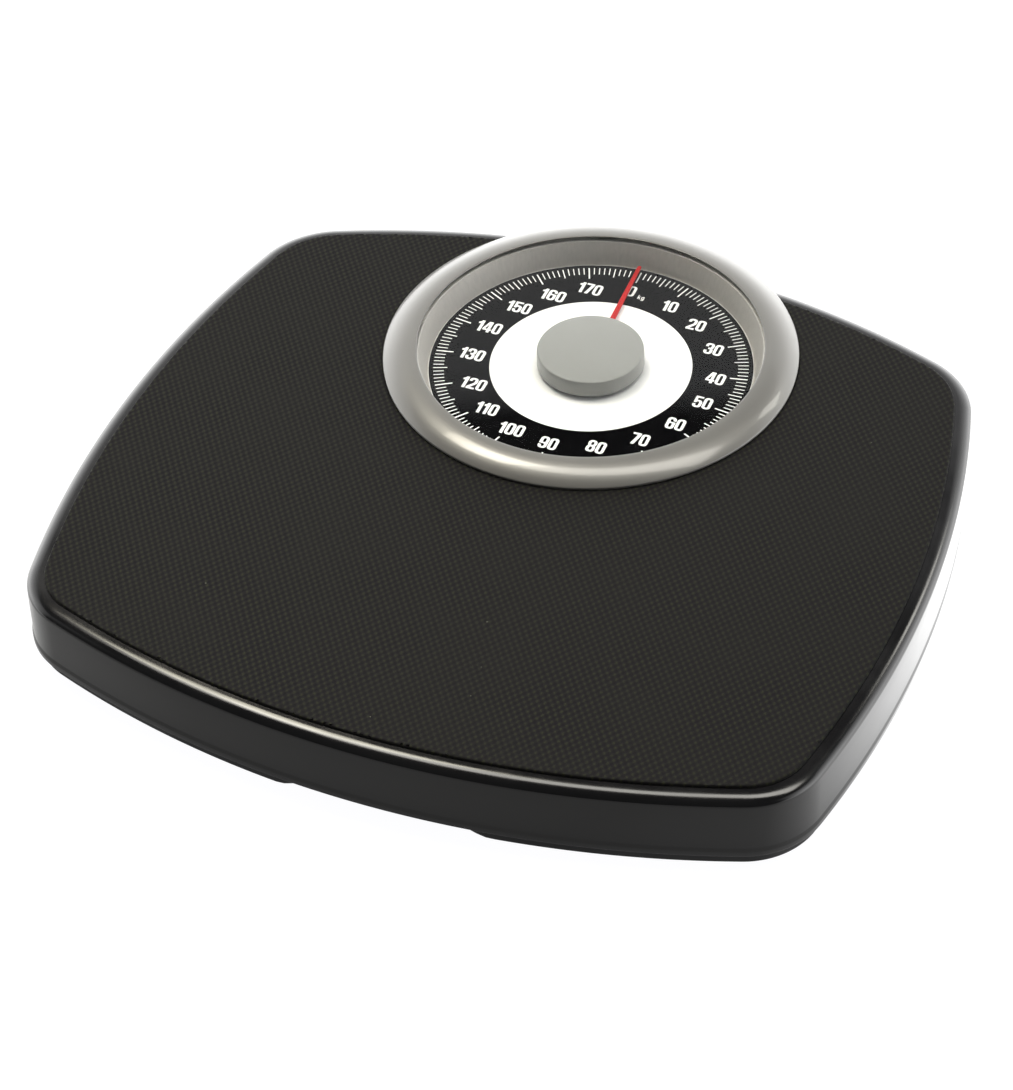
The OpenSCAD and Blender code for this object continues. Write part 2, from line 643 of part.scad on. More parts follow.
plate_z = 27;
plate_h = 1.5;
module pillar_places() for (x = [-25, 25], dy = [-16, 16])
  translate([x, dial_y + dy]) children();
module mechanism_plate() color([0.7, 0.71, 0.72]) slab(plate_z, plate_z + plate_h) difference() {
  translate([0, dial_y]) square([58, 40], center = true);
  translate([0, dial_y]) circle(r = 4 + fit_gap);
  pillar_places() circle(r = 1.4);
}
module mechanism_pillars() color([0.75, 0.75, 0.76]) pillar_places() difference() {
  union() {
    rod_z(floor_top, plate_z, 0, 0, 3.5);
    rod_z(floor_under, floor_top, 0, 0, pillar_r);
  }
  rod_z(plate_z - 9, plate_z + 1, 0, 0, 1.3 + fit_gap);
}
module pillar_screws() color([0.75, 0.75, 0.76]) pillar_places() {
  rod_z(plate_z - 8, plate_z + plate_h, 0, 0, 1.3);
  rod_z(plate_z + plate_h, plate_z + plate_h + 1.5, 0, 0, 2.6);
}
module bush(low, high, flange_high, r, flange_r) translate([0, dial_y]) difference() {
  union() {
    rod_z(low, high, 0, 0, r);
    rod_z(high, flange_high, 0, 0, flange_r);
  }
  rod_z(max(low, floor_top + 0.8), flange_high + 1, 0, 0, shaft_r + run_gap);
}
module upper_bush() color([0.78, 0.66, 0.36])
  bush(plate_z, plate_z + plate_h, plate_z + plate_h + 1.4, 4, 6);
module lower_bush() color([0.78, 0.66, 0.36])
  bush(floor_under, floor_top, floor_top + 3.6, lower_bush_r, 3.1);

// ---- Zero adjuster ----

module zero_support(y0, y1) difference() {
  box([zero_x - 6, y0, floor_top], [zero_x + 6, y1, zero_z + 5]);
  rod_y(y0 - 1, y1 + 1, zero_x, zero_z, zero_rod_r + run_gap);
}
module zero_block() color([0.78, 0.66, 0.36]) zero_support(-4, 5);
module zero_bearing() color([0.7, 0.71, 0.72]) zero_support(zero_wheel_y - 12, zero_wheel_y - 9);
module zero_rod() color([0.75, 0.75, 0.76])
  rod_y(-6, zero_wheel_y + 7, zero_x, zero_z, zero_rod_r);
module zero_wheel() color([0.08, 0.08, 0.08]) along_y(zero_wheel_y - 4, zero_wheel_y + 4)
  translate([zero_x, zero_z]) difference() {
    grips = 36;
    polygon([for (i = [0:2 * grips - 1])
      let (a = i * 180 / grips, r = zero_wheel_r - (i % 2) * 0.7) r * [cos(a), sin(a)]]);
    circle(r = zero_rod_r + fit_gap);
  }

// ---- Springs that hold the platform down ----

function retainer_spot(front) = front ? [150, -65] : [150, 30];
module retainer_springs() color([0.8, 0.8, 0.82]) for (front = [true, false]) both_sides()
  translate(retainer_spot(front)) {
    coil(4, 1.4, 15, 33);
    rod_z(floor_top, 16, 0, 0, 2.7);
    rod_z(32, panel_under, 0, 0, 2.7);
  }

// ---- Platform ----

// Section of the platform's edge as [offset from the mat's edge, height], from the flat border
// beside the mat round the roll and down the skirt, then back up the inside
border_w = 1.7;
roll_w = 6.5;
roll_h = 4;
edge_section = concat(
  [for (a = [0:15:90]) [border_w + roll_w * sin(a), panel_top - roll_h * (1 - cos(a))]],
  [[8.4, 30], [8.6, 20], [8.8, lip_z + 3.4], [lip_off, lip_z + 2.2], [lip_off, lip_z],
   [lip_off - sheet_t, lip_z], [7.5, lip_z + 4], [7.3, 20], [7.1, 30], [6.9, panel_under - 4.5],
   [6.2, panel_under - 2.3], [4.6, panel_under - 0.6], [border_w, panel_under]]);

// One closed ring-shaped shell: every section point runs round the outline, and the first and
// last rings are the round opening under the dial
module platform_cover() color([0.05, 0.05, 0.055]) {
  rings = [for (s = edge_section) outline(s[0])];
  count = len(rings[0]);
  opening = [for (p = rings[0]) dial + panel_hole_r * (p - dial) / norm(p - dial)];
  layers = concat(
    [[for (p = opening) [p[0], p[1], panel_top]]],
    [for (i = [0:len(rings) - 1]) [for (p = rings[i]) [p[0], p[1], edge_section[i][1]]]],
    [[for (p = opening) [p[0], p[1], panel_under]]]);
  total = len(layers);
  polyhedron(
    points = [for (layer = layers) each layer],
    faces = [for (i = [0:total - 1], k = [0:count - 1])
      let (j = (i + 1) % total, m = (k + 1) % count,
           a = i * count + k, b = i * count + m, c = j * count + m, d = j * count + k)
      each [[a, b, c], [a, c, d]]]);
}

// The mat is pressed thinner in the ring that the bezel covers
mat_press = 0.4;
module mat() color([0.12, 0.12, 0.11]) difference() {
  slab(panel_top, mat_top) difference() {
    outline_2d(0);
    translate(dial) circle(r = mat_hole_r, $fn = 128);
  }
  rod_z(mat_top - mat_press, mat_top + 1, 0, dial_y, bezel_r + 0.2, $fn = 128);
}

module dial_cup() color([0.6, 0.6, 0.58]) translate([0, dial_y]) rotate_extrude($fn = 128)
  polygon([[12, cup_under], [80.8, cup_under], [82.9, panel_top], [cup_seat_r, panel_top],
           [cup_seat_r, panel_top + 1], [84, panel_top + 1], [84.3, lens_z - 1],
           [87, lens_z - 1], [87, lens_z], [82.9, lens_z], [79.4, dial_z],
           [79.2, cup_under + cup_floor_t], [12, cup_under + cup_floor_t]]);

module dial_plate() color([0.95, 0.95, 0.94]) translate([0, dial_y])
  slab(dial_z - plate_t, dial_z) difference() {
    circle(r = dial_r, $fn = 128);
    circle(r = 14);
  }

module lens() color([0.85, 0.9, 0.92, 0.3]) rod_z(lens_z, lens_z + lens_t, 0, dial_y, lens_r, $fn = 128);

// The bezel rises steeply at its outer edge and flattens towards the window
function bezel_face(t) = [bezel_r - (bezel_r - window_r) * t,
                          bezel_base_z + bezel_edge_h + bezel_rise * (1 - pow(1 - t, 2.5))];
module bezel() color([0.72, 0.71, 0.68]) translate([0, dial_y]) rotate_extrude($fn = 128)
  polygon(concat(
    [[bezel_r, bezel_base_z]],
    [for (i = [0:10]) bezel_face(i / 10)],
    [for (i = [10:-1:1]) let (p = bezel_face(i / 10)) [p[0], p[1] - bezel_t]],
    [[bezel_r - 1, bezel_base_z]]));

module bezel_clips() color([0.7, 0.71, 0.72]) translate([0, dial_y]) for (a = [45:90:315])
  rotate(a) translate([0, -5]) box([88, 0, panel_top], [89.4, 10, bezel_base_z + 3.7]);

base_pan();
left_side() foot(true);  // foot_front_left
foot(true);  // foot_front_right
left_side() foot(false);  // foot_back_left
foot(false);  // foot_back_right
left_side() bracket(true);  // bracket_front_left
bracket(true);  // bracket_front_right
left_side() bracket(false);  // bracket_back_left
bracket(false);  // bracket_back_right
bracket_rivets();
spring_bridge();
bridge_screws();
main_spring(-spring_x);  // main_spring_left
main_spring(spring_x);  // main_spring_right
crank_bracket();
crank_pivot_pin();
mechanism_plate();
mechanism_pillars();
pillar_screws();
upper_bush();
lower_bush();
rack_guide_front();
rack_guide_rear();
rack_spring();
rack_spring_post();
zero_block();
zero_bearing();
zero_rod();
zero_wheel();
retainer_springs();
left_side() long_lever_arm();  // long_lever_left_arm
long_lever_arm();  // long_lever_right_arm
nose_plate();
nose_rivets();
front_fulcrum_pins();
front_load_pins();
left_side() short_lever();  // short_lever_left
short_lever();  // short_lever_right
left_side() short_lever_pins();  // short_lever_left_pins
short_lever_pins();  // short_lever_right_pins
calibrating_plate();
bell_crank();
crank_pins();
rack();
pinion();
pointer_shaft();
pointer_hub();
pointer_needle();
platform_cover();
mat();
dial_cup();
dial_plate();
lens();
bezel();
bezel_clips();
left_side() post(true);  // post_front_left
post(true);  // post_front_right
left_side() post(false);  // post_back_left
post(false);  // post_back_right
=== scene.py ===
"""Looks for a mechanical dial platform scale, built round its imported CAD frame.

Lengths in this script are millimetres until a mesh or a light is made, and angles are degrees.
The frame's origin is on the ground: X to the right, Y towards the dial, Z up.
"""

import math

import bmesh
import bpy
import numpy as np
from mathutils import Matrix, Vector
from mathutils.geometry import delaunay_2d_cdt


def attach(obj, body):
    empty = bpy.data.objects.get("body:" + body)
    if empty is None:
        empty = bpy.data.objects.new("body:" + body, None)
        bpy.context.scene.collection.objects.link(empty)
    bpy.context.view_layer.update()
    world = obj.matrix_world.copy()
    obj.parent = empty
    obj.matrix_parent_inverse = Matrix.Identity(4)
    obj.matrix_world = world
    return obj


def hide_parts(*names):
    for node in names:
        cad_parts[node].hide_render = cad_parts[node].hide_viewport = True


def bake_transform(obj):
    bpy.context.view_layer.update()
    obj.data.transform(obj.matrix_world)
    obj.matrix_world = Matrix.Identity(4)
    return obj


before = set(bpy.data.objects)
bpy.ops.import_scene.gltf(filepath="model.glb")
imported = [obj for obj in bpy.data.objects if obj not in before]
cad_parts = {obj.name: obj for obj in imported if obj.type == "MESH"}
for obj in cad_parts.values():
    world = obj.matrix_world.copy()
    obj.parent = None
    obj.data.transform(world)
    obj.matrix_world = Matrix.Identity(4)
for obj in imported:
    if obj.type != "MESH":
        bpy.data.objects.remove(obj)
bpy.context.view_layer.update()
MM = 0.001

# ---- Sizes shared with the CAD ----

DIAL = np.array([0.0, 90.0])
DIAL_Z = 33.6
MAT_TOP, MAT_T = 42.0, 1.3
PANEL_TOP, PANEL_UNDER = 40.7, 39.5
PANEL_HOLE_R = 84
LIP_Z = 8.5
FLOOR_UNDER, FLOOR_T = 8.0, 1.2
FOOT_T = 1.5
BASE_OFF = 6.5
WALL_TOP = 20.0
PLATE_Y = -10.0
WHEEL = np.array([14.0, 158.0])
FOOT_SPOTS = {
    "foot_front_left": (-150, -125),
    "foot_front_right": (150, -125),
    "foot_back_left": (-156, 80),
    "foot_back_right": (156, 80),
}
RETAINER_SPOTS = [(-150, -65), (150, -65), (-150, 30), (150, 30)]


# ---- The platform's outline ----


def circles_meet(a, ra, b, rb, side):
    """Where two circles meet; side picks one of the two points."""
    d = np.linalg.norm(b - a)
    u = (b - a) / d
    x = (d * d + ra * ra - rb * rb) / (2 * d)
    return a + u * x + side * math.sqrt(ra * ra - x * x) * np.array([-u[1], u[0]])


def heading(a, b):
    return math.degrees(math.atan2(b[1] - a[1], b[0] - a[0]))


def bow_radius(half, bow):
    return (half * half + bow * bow) / (2 * bow)


FRONT_HALF, BACK_HALF, HALF_DEPTH, OUTLINE_Y = 174, 170, 137.5, -10
FRONT_BOW, BACK_BOW, SIDE_BOW = 33.2, 38.2, 18.6
FRONT_CORNER, BACK_CORNER, BULGE, FILLET = 30, 36, 87.5, 25
FRONT_R = bow_radius(FRONT_HALF, FRONT_BOW)
BACK_R = bow_radius(BACK_HALF, BACK_BOW)
SIDE_STEP = FRONT_HALF - BACK_HALF
SIDE_CHORD = math.hypot(SIDE_STEP, 2 * HALF_DEPTH)
SIDE_R = bow_radius(SIDE_CHORD / 2, SIDE_BOW)
SIDE_OUT = np.array([2 * HALF_DEPTH, SIDE_STEP]) / SIDE_CHORD
FRONT_C = np.array([0, OUTLINE_Y - HALF_DEPTH - FRONT_BOW + FRONT_R])
BACK_C = np.array([0, OUTLINE_Y + HALF_DEPTH + BACK_BOW - BACK_R])
SIDE_C = np.array([(FRONT_HALF + BACK_HALF) / 2, OUTLINE_Y]) - SIDE_OUT * (SIDE_R - SIDE_BOW)
FRONT_CORNER_C = circles_meet(FRONT_C, FRONT_R - FRONT_CORNER, SIDE_C, SIDE_R - FRONT_CORNER, 1)
BACK_CORNER_C = circles_meet(BACK_C, BACK_R - BACK_CORNER, SIDE_C, SIDE_R - BACK_CORNER, -1)
FILLET_C = circles_meet(BACK_C, BACK_R + FILLET, DIAL, BULGE + FILLET, -1)


def arc(centre, r, a0, a1, count):
    a = np.radians(np.linspace(a0, a1, count, endpoint=False))
    return centre + r * np.stack([np.cos(a), np.sin(a)], 1)


def flank(off, start):
    """The outline's right side moved outwards by off, from a heading on the back arc to the front."""
    back_to_corner, corner_to_side = heading(BACK_C, BACK_CORNER_C), heading(SIDE_C, BACK_CORNER_C)
    side_to_corner, corner_to_front = heading(SIDE_C, FRONT_CORNER_C), heading(FRONT_C, FRONT_CORNER_C)
    return np.concatenate([
        arc(BACK_C, BACK_R + off, start, back_to_corner, 30),
        arc(BACK_CORNER_C, BACK_CORNER + off, back_to_corner, corner_to_side, 30),
        arc(SIDE_C, SIDE_R + off, corner_to_side, side_to_corner, 60),
        arc(FRONT_CORNER_C, FRONT_CORNER + off, side_to_corner, corner_to_front, 28),
        arc(FRONT_C, FRONT_R + off, corner_to_front, -90, 42),
        [[0, FRONT_C[1] - FRONT_R - off]],
    ])


def outline(off):
    """The closed outline moved outwards by off, clockwise from the middle of the back."""
    half = np.concatenate([
        arc(DIAL, BULGE + off, 90, heading(DIAL, FILLET_C), 30),
        arc(FILLET_C, FILLET - off, heading(FILLET_C, DIAL) + 360, heading(FILLET_C, BACK_C) + 360, 12),
        flank(off, heading(BACK_C, FILLET_C)),
    ])
    return np.concatenate([half, half[-2:0:-1] * [-1, 1]])


def mat_outline(off, hole_r):
    """The outline of the mat moved outwards by off: the platform's, cut away round the dial."""
    corner = circles_meet(DIAL, hole_r - off, BACK_C, BACK_R + off, 1)
    right = flank(off, heading(BACK_C, corner))
    end = heading(DIAL, corner)
    return np.concatenate([right, right[-2::-1] * [-1, 1], arc(DIAL, hole_r - off, -180 - end, end, 150)[1:]])


def finer(loop, guide, step):
    """The loop with points added along its sides, as many as bring the guide's sides down to the step."""
    counts = np.ceil(np.linalg.norm(np.roll(guide, -1, 0) - guide, axis=1) / step).astype(int)
    return np.concatenate([a + (b - a) * np.arange(n)[:, None] / n
                           for a, b, n in zip(loop, np.roll(loop, -1, 0), np.maximum(counts, 1))])


# ---- Mesh helpers ----


def piece(name, verts, faces, slot, body, replaces=(), smooth_angle=40, material=None):
    """A mesh piece from points in millimetres, riding on a body and standing for CAD nodes."""
    mesh = bpy.data.meshes.new(name)
    mesh.from_pydata((np.asarray(verts, float) * MM).tolist(), [], [list(map(int, f)) for f in faces])
    mesh.validate()
    bm = bmesh.new()
    bm.from_mesh(mesh)
    bmesh.ops.remove_doubles(bm, verts=bm.verts, dist=1e-7)
    bmesh.ops.recalc_face_normals(bm, faces=bm.faces)
    bm.to_mesh(mesh)
    bm.free()
    mesh.shade_smooth()
    mesh.set_sharp_from_angle(angle=math.radians(smooth_angle))
    obj = bpy.data.objects.new(name, mesh)
    bpy.context.scene.collection.objects.link(obj)
    mesh.materials.append(material or MATERIALS[slot])
    if body:
        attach(obj, body)
    if replaces:
        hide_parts(*replaces)
    return obj


class Shell:
    """Points and faces gathered ring by ring."""

    def __init__(self):
        self.points, self.faces, self.count = [], [], 0

    def add(self, points):
        self.points.append(np.asarray(points, float))
        self.count += len(points)
        return self.count - len(points)

    def ring(self, plan, z):
        """A ring of plan points at height z, which is one number or one for each point."""
        return self.add(np.column_stack([plan, np.broadcast_to(z, len(plan))]))

    def join(self, a, b, count):
        """Quads between two rings of the same count."""
        for i in range(count):
            j = (i + 1) % count
            self.faces.append((a + i, a + j, b + j, b + i))

    def rings(self, starts, count, closed=False):
        pairs = list(zip(starts, starts[1:]))
        if closed:
            pairs.append((starts[-1], starts[0]))
        for a, b in pairs:
            self.join(a, b, count)

    def verts(self):
        return np.concatenate(self.points)


def unit(vector):
    return vector / np.linalg.norm(vector)


def turned(points, degrees):
    """Plan points turned anticlockwise about the dial's centre."""
    a = math.radians(degrees)
    x, y = (points - DIAL).T
    return np.stack([x * math.cos(a) - y * math.sin(a), x * math.sin(a) + y * math.cos(a)], 1) + DIAL


def rounded(corners, steps=5):
    """A path through (x, y, radius) corners, each rounded by its radius. The ends aren't rounded."""
    path = [np.array(corners[0][:2], float)]
    for before, here, after in zip(corners, corners[1:], corners[2:]):
        p, r = np.array(here[:2], float), here[2]
        if r <= 0:
            path.append(p)
            continue
        u, v = unit(np.array(before[:2]) - p), unit(np.array(after[:2]) - p)
        half = math.acos(np.clip(u @ v, -1, 1)) / 2
        reach = r / math.tan(half)
        centre = p + unit(u + v) * r / math.sin(half)
        start, end = p + u * reach - centre, p + v * reach - centre
        turn = math.atan2(start[0] * end[1] - start[1] * end[0], start @ end)
        for k in range(steps + 1):
            a = turn * k / steps
            c, s = math.cos(a), math.sin(a)
            path.append(centre + [start[0] * c - start[1] * s, start[0] * s + start[1] * c])
    path.append(np.array(corners[-1][:2], float))
    return np.array(path)


def closed_rounded(corners, steps=5):
    """The same for a closed loop of corners."""
    loop = [corners[-1]] + list(corners) + [corners[0]]
    return rounded(loop, steps)[1:-1]


def revolve(profile, count, centre):
    """Verts and faces of a profile of (radius, height) points turned about a vertical axis."""
    shell = Shell()
    a = np.radians(np.arange(count) * 360 / count)
    around = np.stack([np.sin(a), np.cos(a)], 1)
    starts = [shell.ring(around * r + centre, z) for r, z in profile]
    shell.rings(starts, count, closed=True)
    return shell.verts(), shell.faces


def inside(points, loop):
    """Which points lie inside a closed loop."""
    x, y = points[:, 0], points[:, 1]
    result = np.zeros(len(points), bool)
    for (ax, ay), (bx, by) in zip(loop, np.roll(loop, -1, 0)):
        if ay == by:
            continue
        crosses = (ay > y) != (by > y)
        result ^= crosses & (x < (bx - ax) * (y - ay) / (by - ay) + ax)
    return result


def within(points, outer, *holes):
    """Which points lie inside the outer loop and outside the holes."""
    result = inside(points, outer)
    for hole in holes:
        result &= ~inside(points, hole)
    return result


def fill(shell, loops, points=(), target=(), edges=(), keep=None):
    """Triangles between the first loop and the holes after it, given as (points, start), round other points.
    target numbers those in the shell, edges joins them, and keep picks triangles by their centres."""
    points, target, edges = list(points), list(target), list(edges)
    for loop, start in loops:
        first, count = len(points), len(loop)
        edges += [(first + i, first + (i + 1) % count) for i in range(count)]
        points += list(loop)
        target += range(start, start + count)
    _, _, triangles, sources, _, _ = delaunay_2d_cdt([Vector(p) for p in points], edges, [], 0, 1e-6)
    triangles = np.array([[sources[i][0] for i in t] for t in triangles])
    centres = np.asarray(points)[triangles].mean(1)
    kept = within(centres, *[loop for loop, _ in loops])
    if keep:
        kept &= keep(centres)
    shell.faces.extend([target[v] for v in t] for t in triangles[kept].tolist())


def field(shell, loops, step_x, step_y, height):
    """Fills the first loop, less the holes after it, with a grid whose heights come from height(x, y).
    Each loop is (points, start in the shell, the line that the grid keeps behind)."""
    outer = loops[0][0]
    low, high = outer.min(0), outer.max(0)
    nx, ny = int((high[0] - low[0]) / step_x) + 2, int((high[1] - low[1]) / step_y) + 2
    x0, y0 = math.floor(low[0] / step_x) * step_x, math.floor(low[1] / step_y) * step_y
    gx, gy = np.meshgrid(x0 + np.arange(nx) * step_x, y0 + np.arange(ny) * step_y, indexing="ij")
    grid = np.stack([gx.ravel(), gy.ravel()], 1)
    ok = within(grid, *[limit for _, _, limit in loops]).reshape(nx, ny)
    cells = ok[:-1, :-1] & ok[1:, :-1] & ok[:-1, 1:] & ok[1:, 1:]
    used = np.zeros((nx, ny), bool)
    for dx in (0, 1):
        for dy in (0, 1):
            used[dx : nx - 1 + dx, dy : ny - 1 + dy] |= cells
    number = np.full((nx, ny), -1)
    number[used] = np.arange(used.sum())
    xy = np.stack([gx[used], gy[used]], 1)
    base = shell.add(np.column_stack([xy, height(xy[:, 0], xy[:, 1])]))
    ci, cj = np.nonzero(cells)
    quads = [number[ci, cj], number[ci + 1, cj], number[ci + 1, cj + 1], number[ci, cj + 1]]
    shell.faces.extend((np.stack(quads, 1) + base).tolist())

    padded = np.zeros((nx + 1, ny + 1), bool)
    padded[1:nx, 1:ny] = cells
    i, j = np.nonzero(padded[:-1, 1:] != padded[1:, 1:])
    rim = list(zip(number[i, j], number[i, j + 1]))
    i, j = np.nonzero(padded[1:, :-1] != padded[1:, 1:])
    rim += zip(number[i, j], number[i + 1, j])
    rim_ids = sorted({int(v) for e in rim for v in e})
    local = {v: k for k, v in enumerate(rim_ids)}
    points = [xy[v] for v in rim_ids]
    target = [base + v for v in rim_ids]
    edges = [(local[int(a)], local[int(b)]) for a, b in rim]

    def off_grid(c):
        ix = np.clip(((c[:, 0] - x0) / step_x).astype(int), 0, nx - 2)
        iy = np.clip(((c[:, 1] - y0) / step_y).astype(int), 0, ny - 2)
        return ~cells[ix, iy]

    fill(shell, [(loop, start) for loop, start, _ in loops], points, target, edges, off_grid)


def prism(shell, plan, triangles, z0, z1):
    """A flat solid over plan triangles, from z0 to z1."""
    plan = np.asarray(plan, float)
    low, high = shell.ring(plan, z0), shell.ring(plan, z1)
    seen = {}
    for t in triangles:
        a, b, c = t
        pa, pb, pc = plan[a], plan[b], plan[c]
        if (pb[0] - pa[0]) * (pc[1] - pa[1]) - (pb[1] - pa[1]) * (pc[0] - pa[0]) < 0:
            t = (a, c, b)
        shell.faces.append([high + v for v in t])
        shell.faces.append([low + v for v in reversed(t)])
        for u, v in zip(t, list(t[1:]) + [t[0]]):
            seen[(u, v)] = True
    for u, v in seen:
        if (v, u) not in seen:
            shell.faces.append([low + u, low + v, high + v, high + u])


def tube(path, radius, sides=12):
    """Verts and faces of a round wire along a path, with domed ends."""
    path = np.asarray(path, float)
    tangents = np.gradient(path, axis=0)
    tangents /= np.linalg.norm(tangents, axis=1)[:, None]
    normal = unit(np.cross(tangents[0], [0.3, 0.5, 0.81]))
    a = np.arange(sides) * 2 * math.pi / sides
    sections = []
    for p, t in zip(path, tangents):
        normal = unit(normal - t * (normal @ t))
        sections.append((p, t, normal, np.cross(t, normal)))

    def dome(section, way, share):
        """A ring beyond an end of the wire, with this share of its radius."""
        p, t, n, b = section
        return p + way * t * radius * math.sqrt(1 - share * share), n, b, radius * share

    rings = [dome(sections[0], -1, share) for share in (0.35, 0.75)]
    rings += [(p, n, b, radius) for p, t, n, b in sections]
    rings += [dome(sections[-1], 1, share) for share in (0.75, 0.35)]
    shell = Shell()
    starts = [shell.add(c + r * (np.outer(np.cos(a), n) + np.outer(np.sin(a), b))) for c, n, b, r in rings]
    shell.rings(starts, sides)
    shell.faces += [range(sides)[::-1], range(starts[-1], starts[-1] + sides)]
    return shell.verts(), shell.faces


# ---- Materials ----


def add_node(tree, kind, inputs=(), **settings):
    """A node with its settings, whose inputs are linked to sockets or set to values."""
    n = tree.nodes.new(kind)
    for key, value in settings.items():
        setattr(n, key, value)
    for key, value in dict(inputs).items():
        if isinstance(value, bpy.types.NodeSocket):
            tree.links.new(value, n.inputs[key])
        else:
            n.inputs[key].default_value = value
    return n


def add_ramp(tree, value, stops):
    """Maps a value to colours or greys at (place, colour) stops."""
    n = add_node(tree, "ShaderNodeValToRGB", {"Fac": value})
    while len(n.color_ramp.elements) < len(stops):
        n.color_ramp.elements.new(0.5)
    for element, (place, colour) in zip(n.color_ramp.elements, stops):
        element.position = place
        element.color = (*colour, 1) if isinstance(colour, tuple) else (colour, colour, colour, 1)
    return n.outputs["Color"]


class Look:
    """A Principled material and short calls for the nodes that feed it."""

    def __init__(self, name, colour, roughness, metallic=0.0, ior=1.5, coat=0.0, coat_roughness=0.05):
        self.material = bpy.data.materials.new(name)
        self.material.use_nodes = True
        self.tree = self.material.node_tree
        self.shader = self.tree.nodes["Principled BSDF"]
        self.set("Base Color", (*colour, 1))
        self.set("Roughness", roughness)
        self.set("Metallic", metallic)
        self.set("IOR", ior)
        self.set("Coat Weight", coat)
        self.set("Coat Roughness", coat_roughness)
        self.place = self.node("ShaderNodeTexCoord").outputs["Object"]
        MATERIALS[name] = self.material

    def set(self, socket, value):
        self.shader.inputs[socket].default_value = value

    def link(self, socket, output):
        self.tree.links.new(output, self.shader.inputs[socket])

    def node(self, kind, inputs=(), **settings):
        return add_node(self.tree, kind, inputs, **settings)

    def ramp(self, value, stops):
        return add_ramp(self.tree, value, stops)

    def math(self, operation, a, b=0.0, c=0.0):
        return self.node("ShaderNodeMath", {0: a, 1: b, 2: c}, operation=operation).outputs[0]

    def stretched(self, x, y, z):
        """Object coordinates scaled by these amounts."""
        return self.node("ShaderNodeMapping", {"Vector": self.place, "Scale": (x, y, z)}).outputs[0]

    def noise(self, size, detail, vector=None):
        """Noise whose features are about size millimetres across."""
        return self.node("ShaderNodeTexNoise", {"Vector": vector or self.place, "Scale": 1 / (size * MM),
                                                "Detail": detail}).outputs["Fac"]

    def mix(self, share, a, b):
        """Colour a where the share is 0 and colour b where it is 1."""
        a, b = (side if isinstance(side, bpy.types.NodeSocket) else (*side, 1) for side in (a, b))
        return self.node("ShaderNodeMix", {0: share, 6: a, 7: b}, data_type="RGBA").outputs[2]

    def bump(self, height, depth, strength):
        """A normal from heights of 0 to 1, for features depth millimetres deep."""
        return self.node("ShaderNodeBump", {"Height": height, "Distance": depth * MM,
                                            "Strength": strength}).outputs["Normal"]

    def grain(self, size, depth, strength):
        self.link("Normal", self.bump(self.noise(size, 4), depth, strength))

    def vary_roughness(self, size, low, high):
        self.link("Roughness", self.ramp(self.noise(size, 4), [(0.3, low), (0.7, high)]))

    def vary_colour(self, size, dark, light):
        self.link("Base Color", self.ramp(self.noise(size, 5), [(0.3, dark), (0.7, light)]))


MATERIALS = {}

# Gloss-black painted steel
look = Look("cover_black", (0.004, 0.004, 0.0045), 0.16, ior=1.52)
look.vary_colour(60, (0.003, 0.003, 0.0035), (0.005, 0.005, 0.0055))
look.vary_roughness(25, 0.13, 0.21)
look.grain(1.6, 0.02, 0.25)

# Moulded black plastic of the base
look = Look("base_black", (0.006, 0.006, 0.0065), 0.42)
look.set("Specular IOR Level", 0.35)
look.vary_colour(40, (0.005, 0.005, 0.0055), (0.008, 0.008, 0.0085))
look.vary_roughness(12, 0.34, 0.5)
look.grain(0.5, 0.04, 0.5)

look = Look("foot_rubber", (0.02, 0.02, 0.02), 0.8)
look.vary_colour(5, 0.015, (0.032, 0.032, 0.03))
look.vary_roughness(3, 0.7, 0.9)
look.grain(0.35, 0.06, 0.6)

# Embossed vinyl. Its colour is painted lighter and more olive on the raised squares and darker in the
# hollows: a painted highlight on the tops and painted shade in the hollows
WEAVE_X, WEAVE_Y = 1.69, 2.36
look = Look("mat_vinyl", (0.007, 0.007, 0.006), 0.62, ior=1.45)
look.set("Specular IOR Level", 0.07)
split = look.node("ShaderNodeSeparateXYZ", {0: look.place})
waves = [look.math("COSINE", look.math("MULTIPLY", split.outputs[axis], math.pi / (pitch * MM)))
         for axis, pitch in ((0, WEAVE_X), (1, WEAVE_Y))]
weave = look.math("MULTIPLY_ADD", look.math("MULTIPLY", waves[0], waves[1]), 0.5, 0.5)
fibres = look.math("MULTIPLY", look.math("SUBTRACT", look.noise(0.7, 2), 0.5), 1.1)
weave = look.math("ADD", weave, fibres)
# Painted highlight on the raised squares and painted shade in the hollows, following the emboss
weave_shade = look.ramp(weave, [(0.2, (0.0056, 0.0049, 0.006)), (0.7, (0.0077, 0.0077, 0.0066)),
                         (1.0, (0.0155, 0.0165, 0.0075))])
cloud = look.ramp(look.noise(45, 3), [(0.35, 0.0), (0.65, 0.35)])
clouded_weave_shade = look.mix(cloud, weave_shade, (0.0087, 0.0086, 0.0076))
specks = look.node("ShaderNodeTexVoronoi", {"Vector": look.place, "Scale": 1 / (17 * MM), "Randomness": 1.0})
speck = look.math("LESS_THAN", specks.outputs["Distance"], 0.017)
look.link("Base Color", look.mix(speck, clouded_weave_shade, (0.12, 0.12, 0.09)))
look.link("Roughness", look.ramp(weave, [(0.2, 0.72), (0.9, 0.5)]))
look.grain(0.25, 0.05, 0.5)

# Satin silver of the bezel, and the greyer dial cup with faint upright brushing
look = Look("bezel_silver", (0.14, 0.138, 0.13), 0.34, metallic=0.35, coat=0.45, coat_roughness=0.07)
look.vary_colour(30, (0.137, 0.135, 0.127), (0.143, 0.141, 0.133))
look.vary_roughness(18, 0.33, 0.36)
look.grain(0.6, 0.006, 0.15)

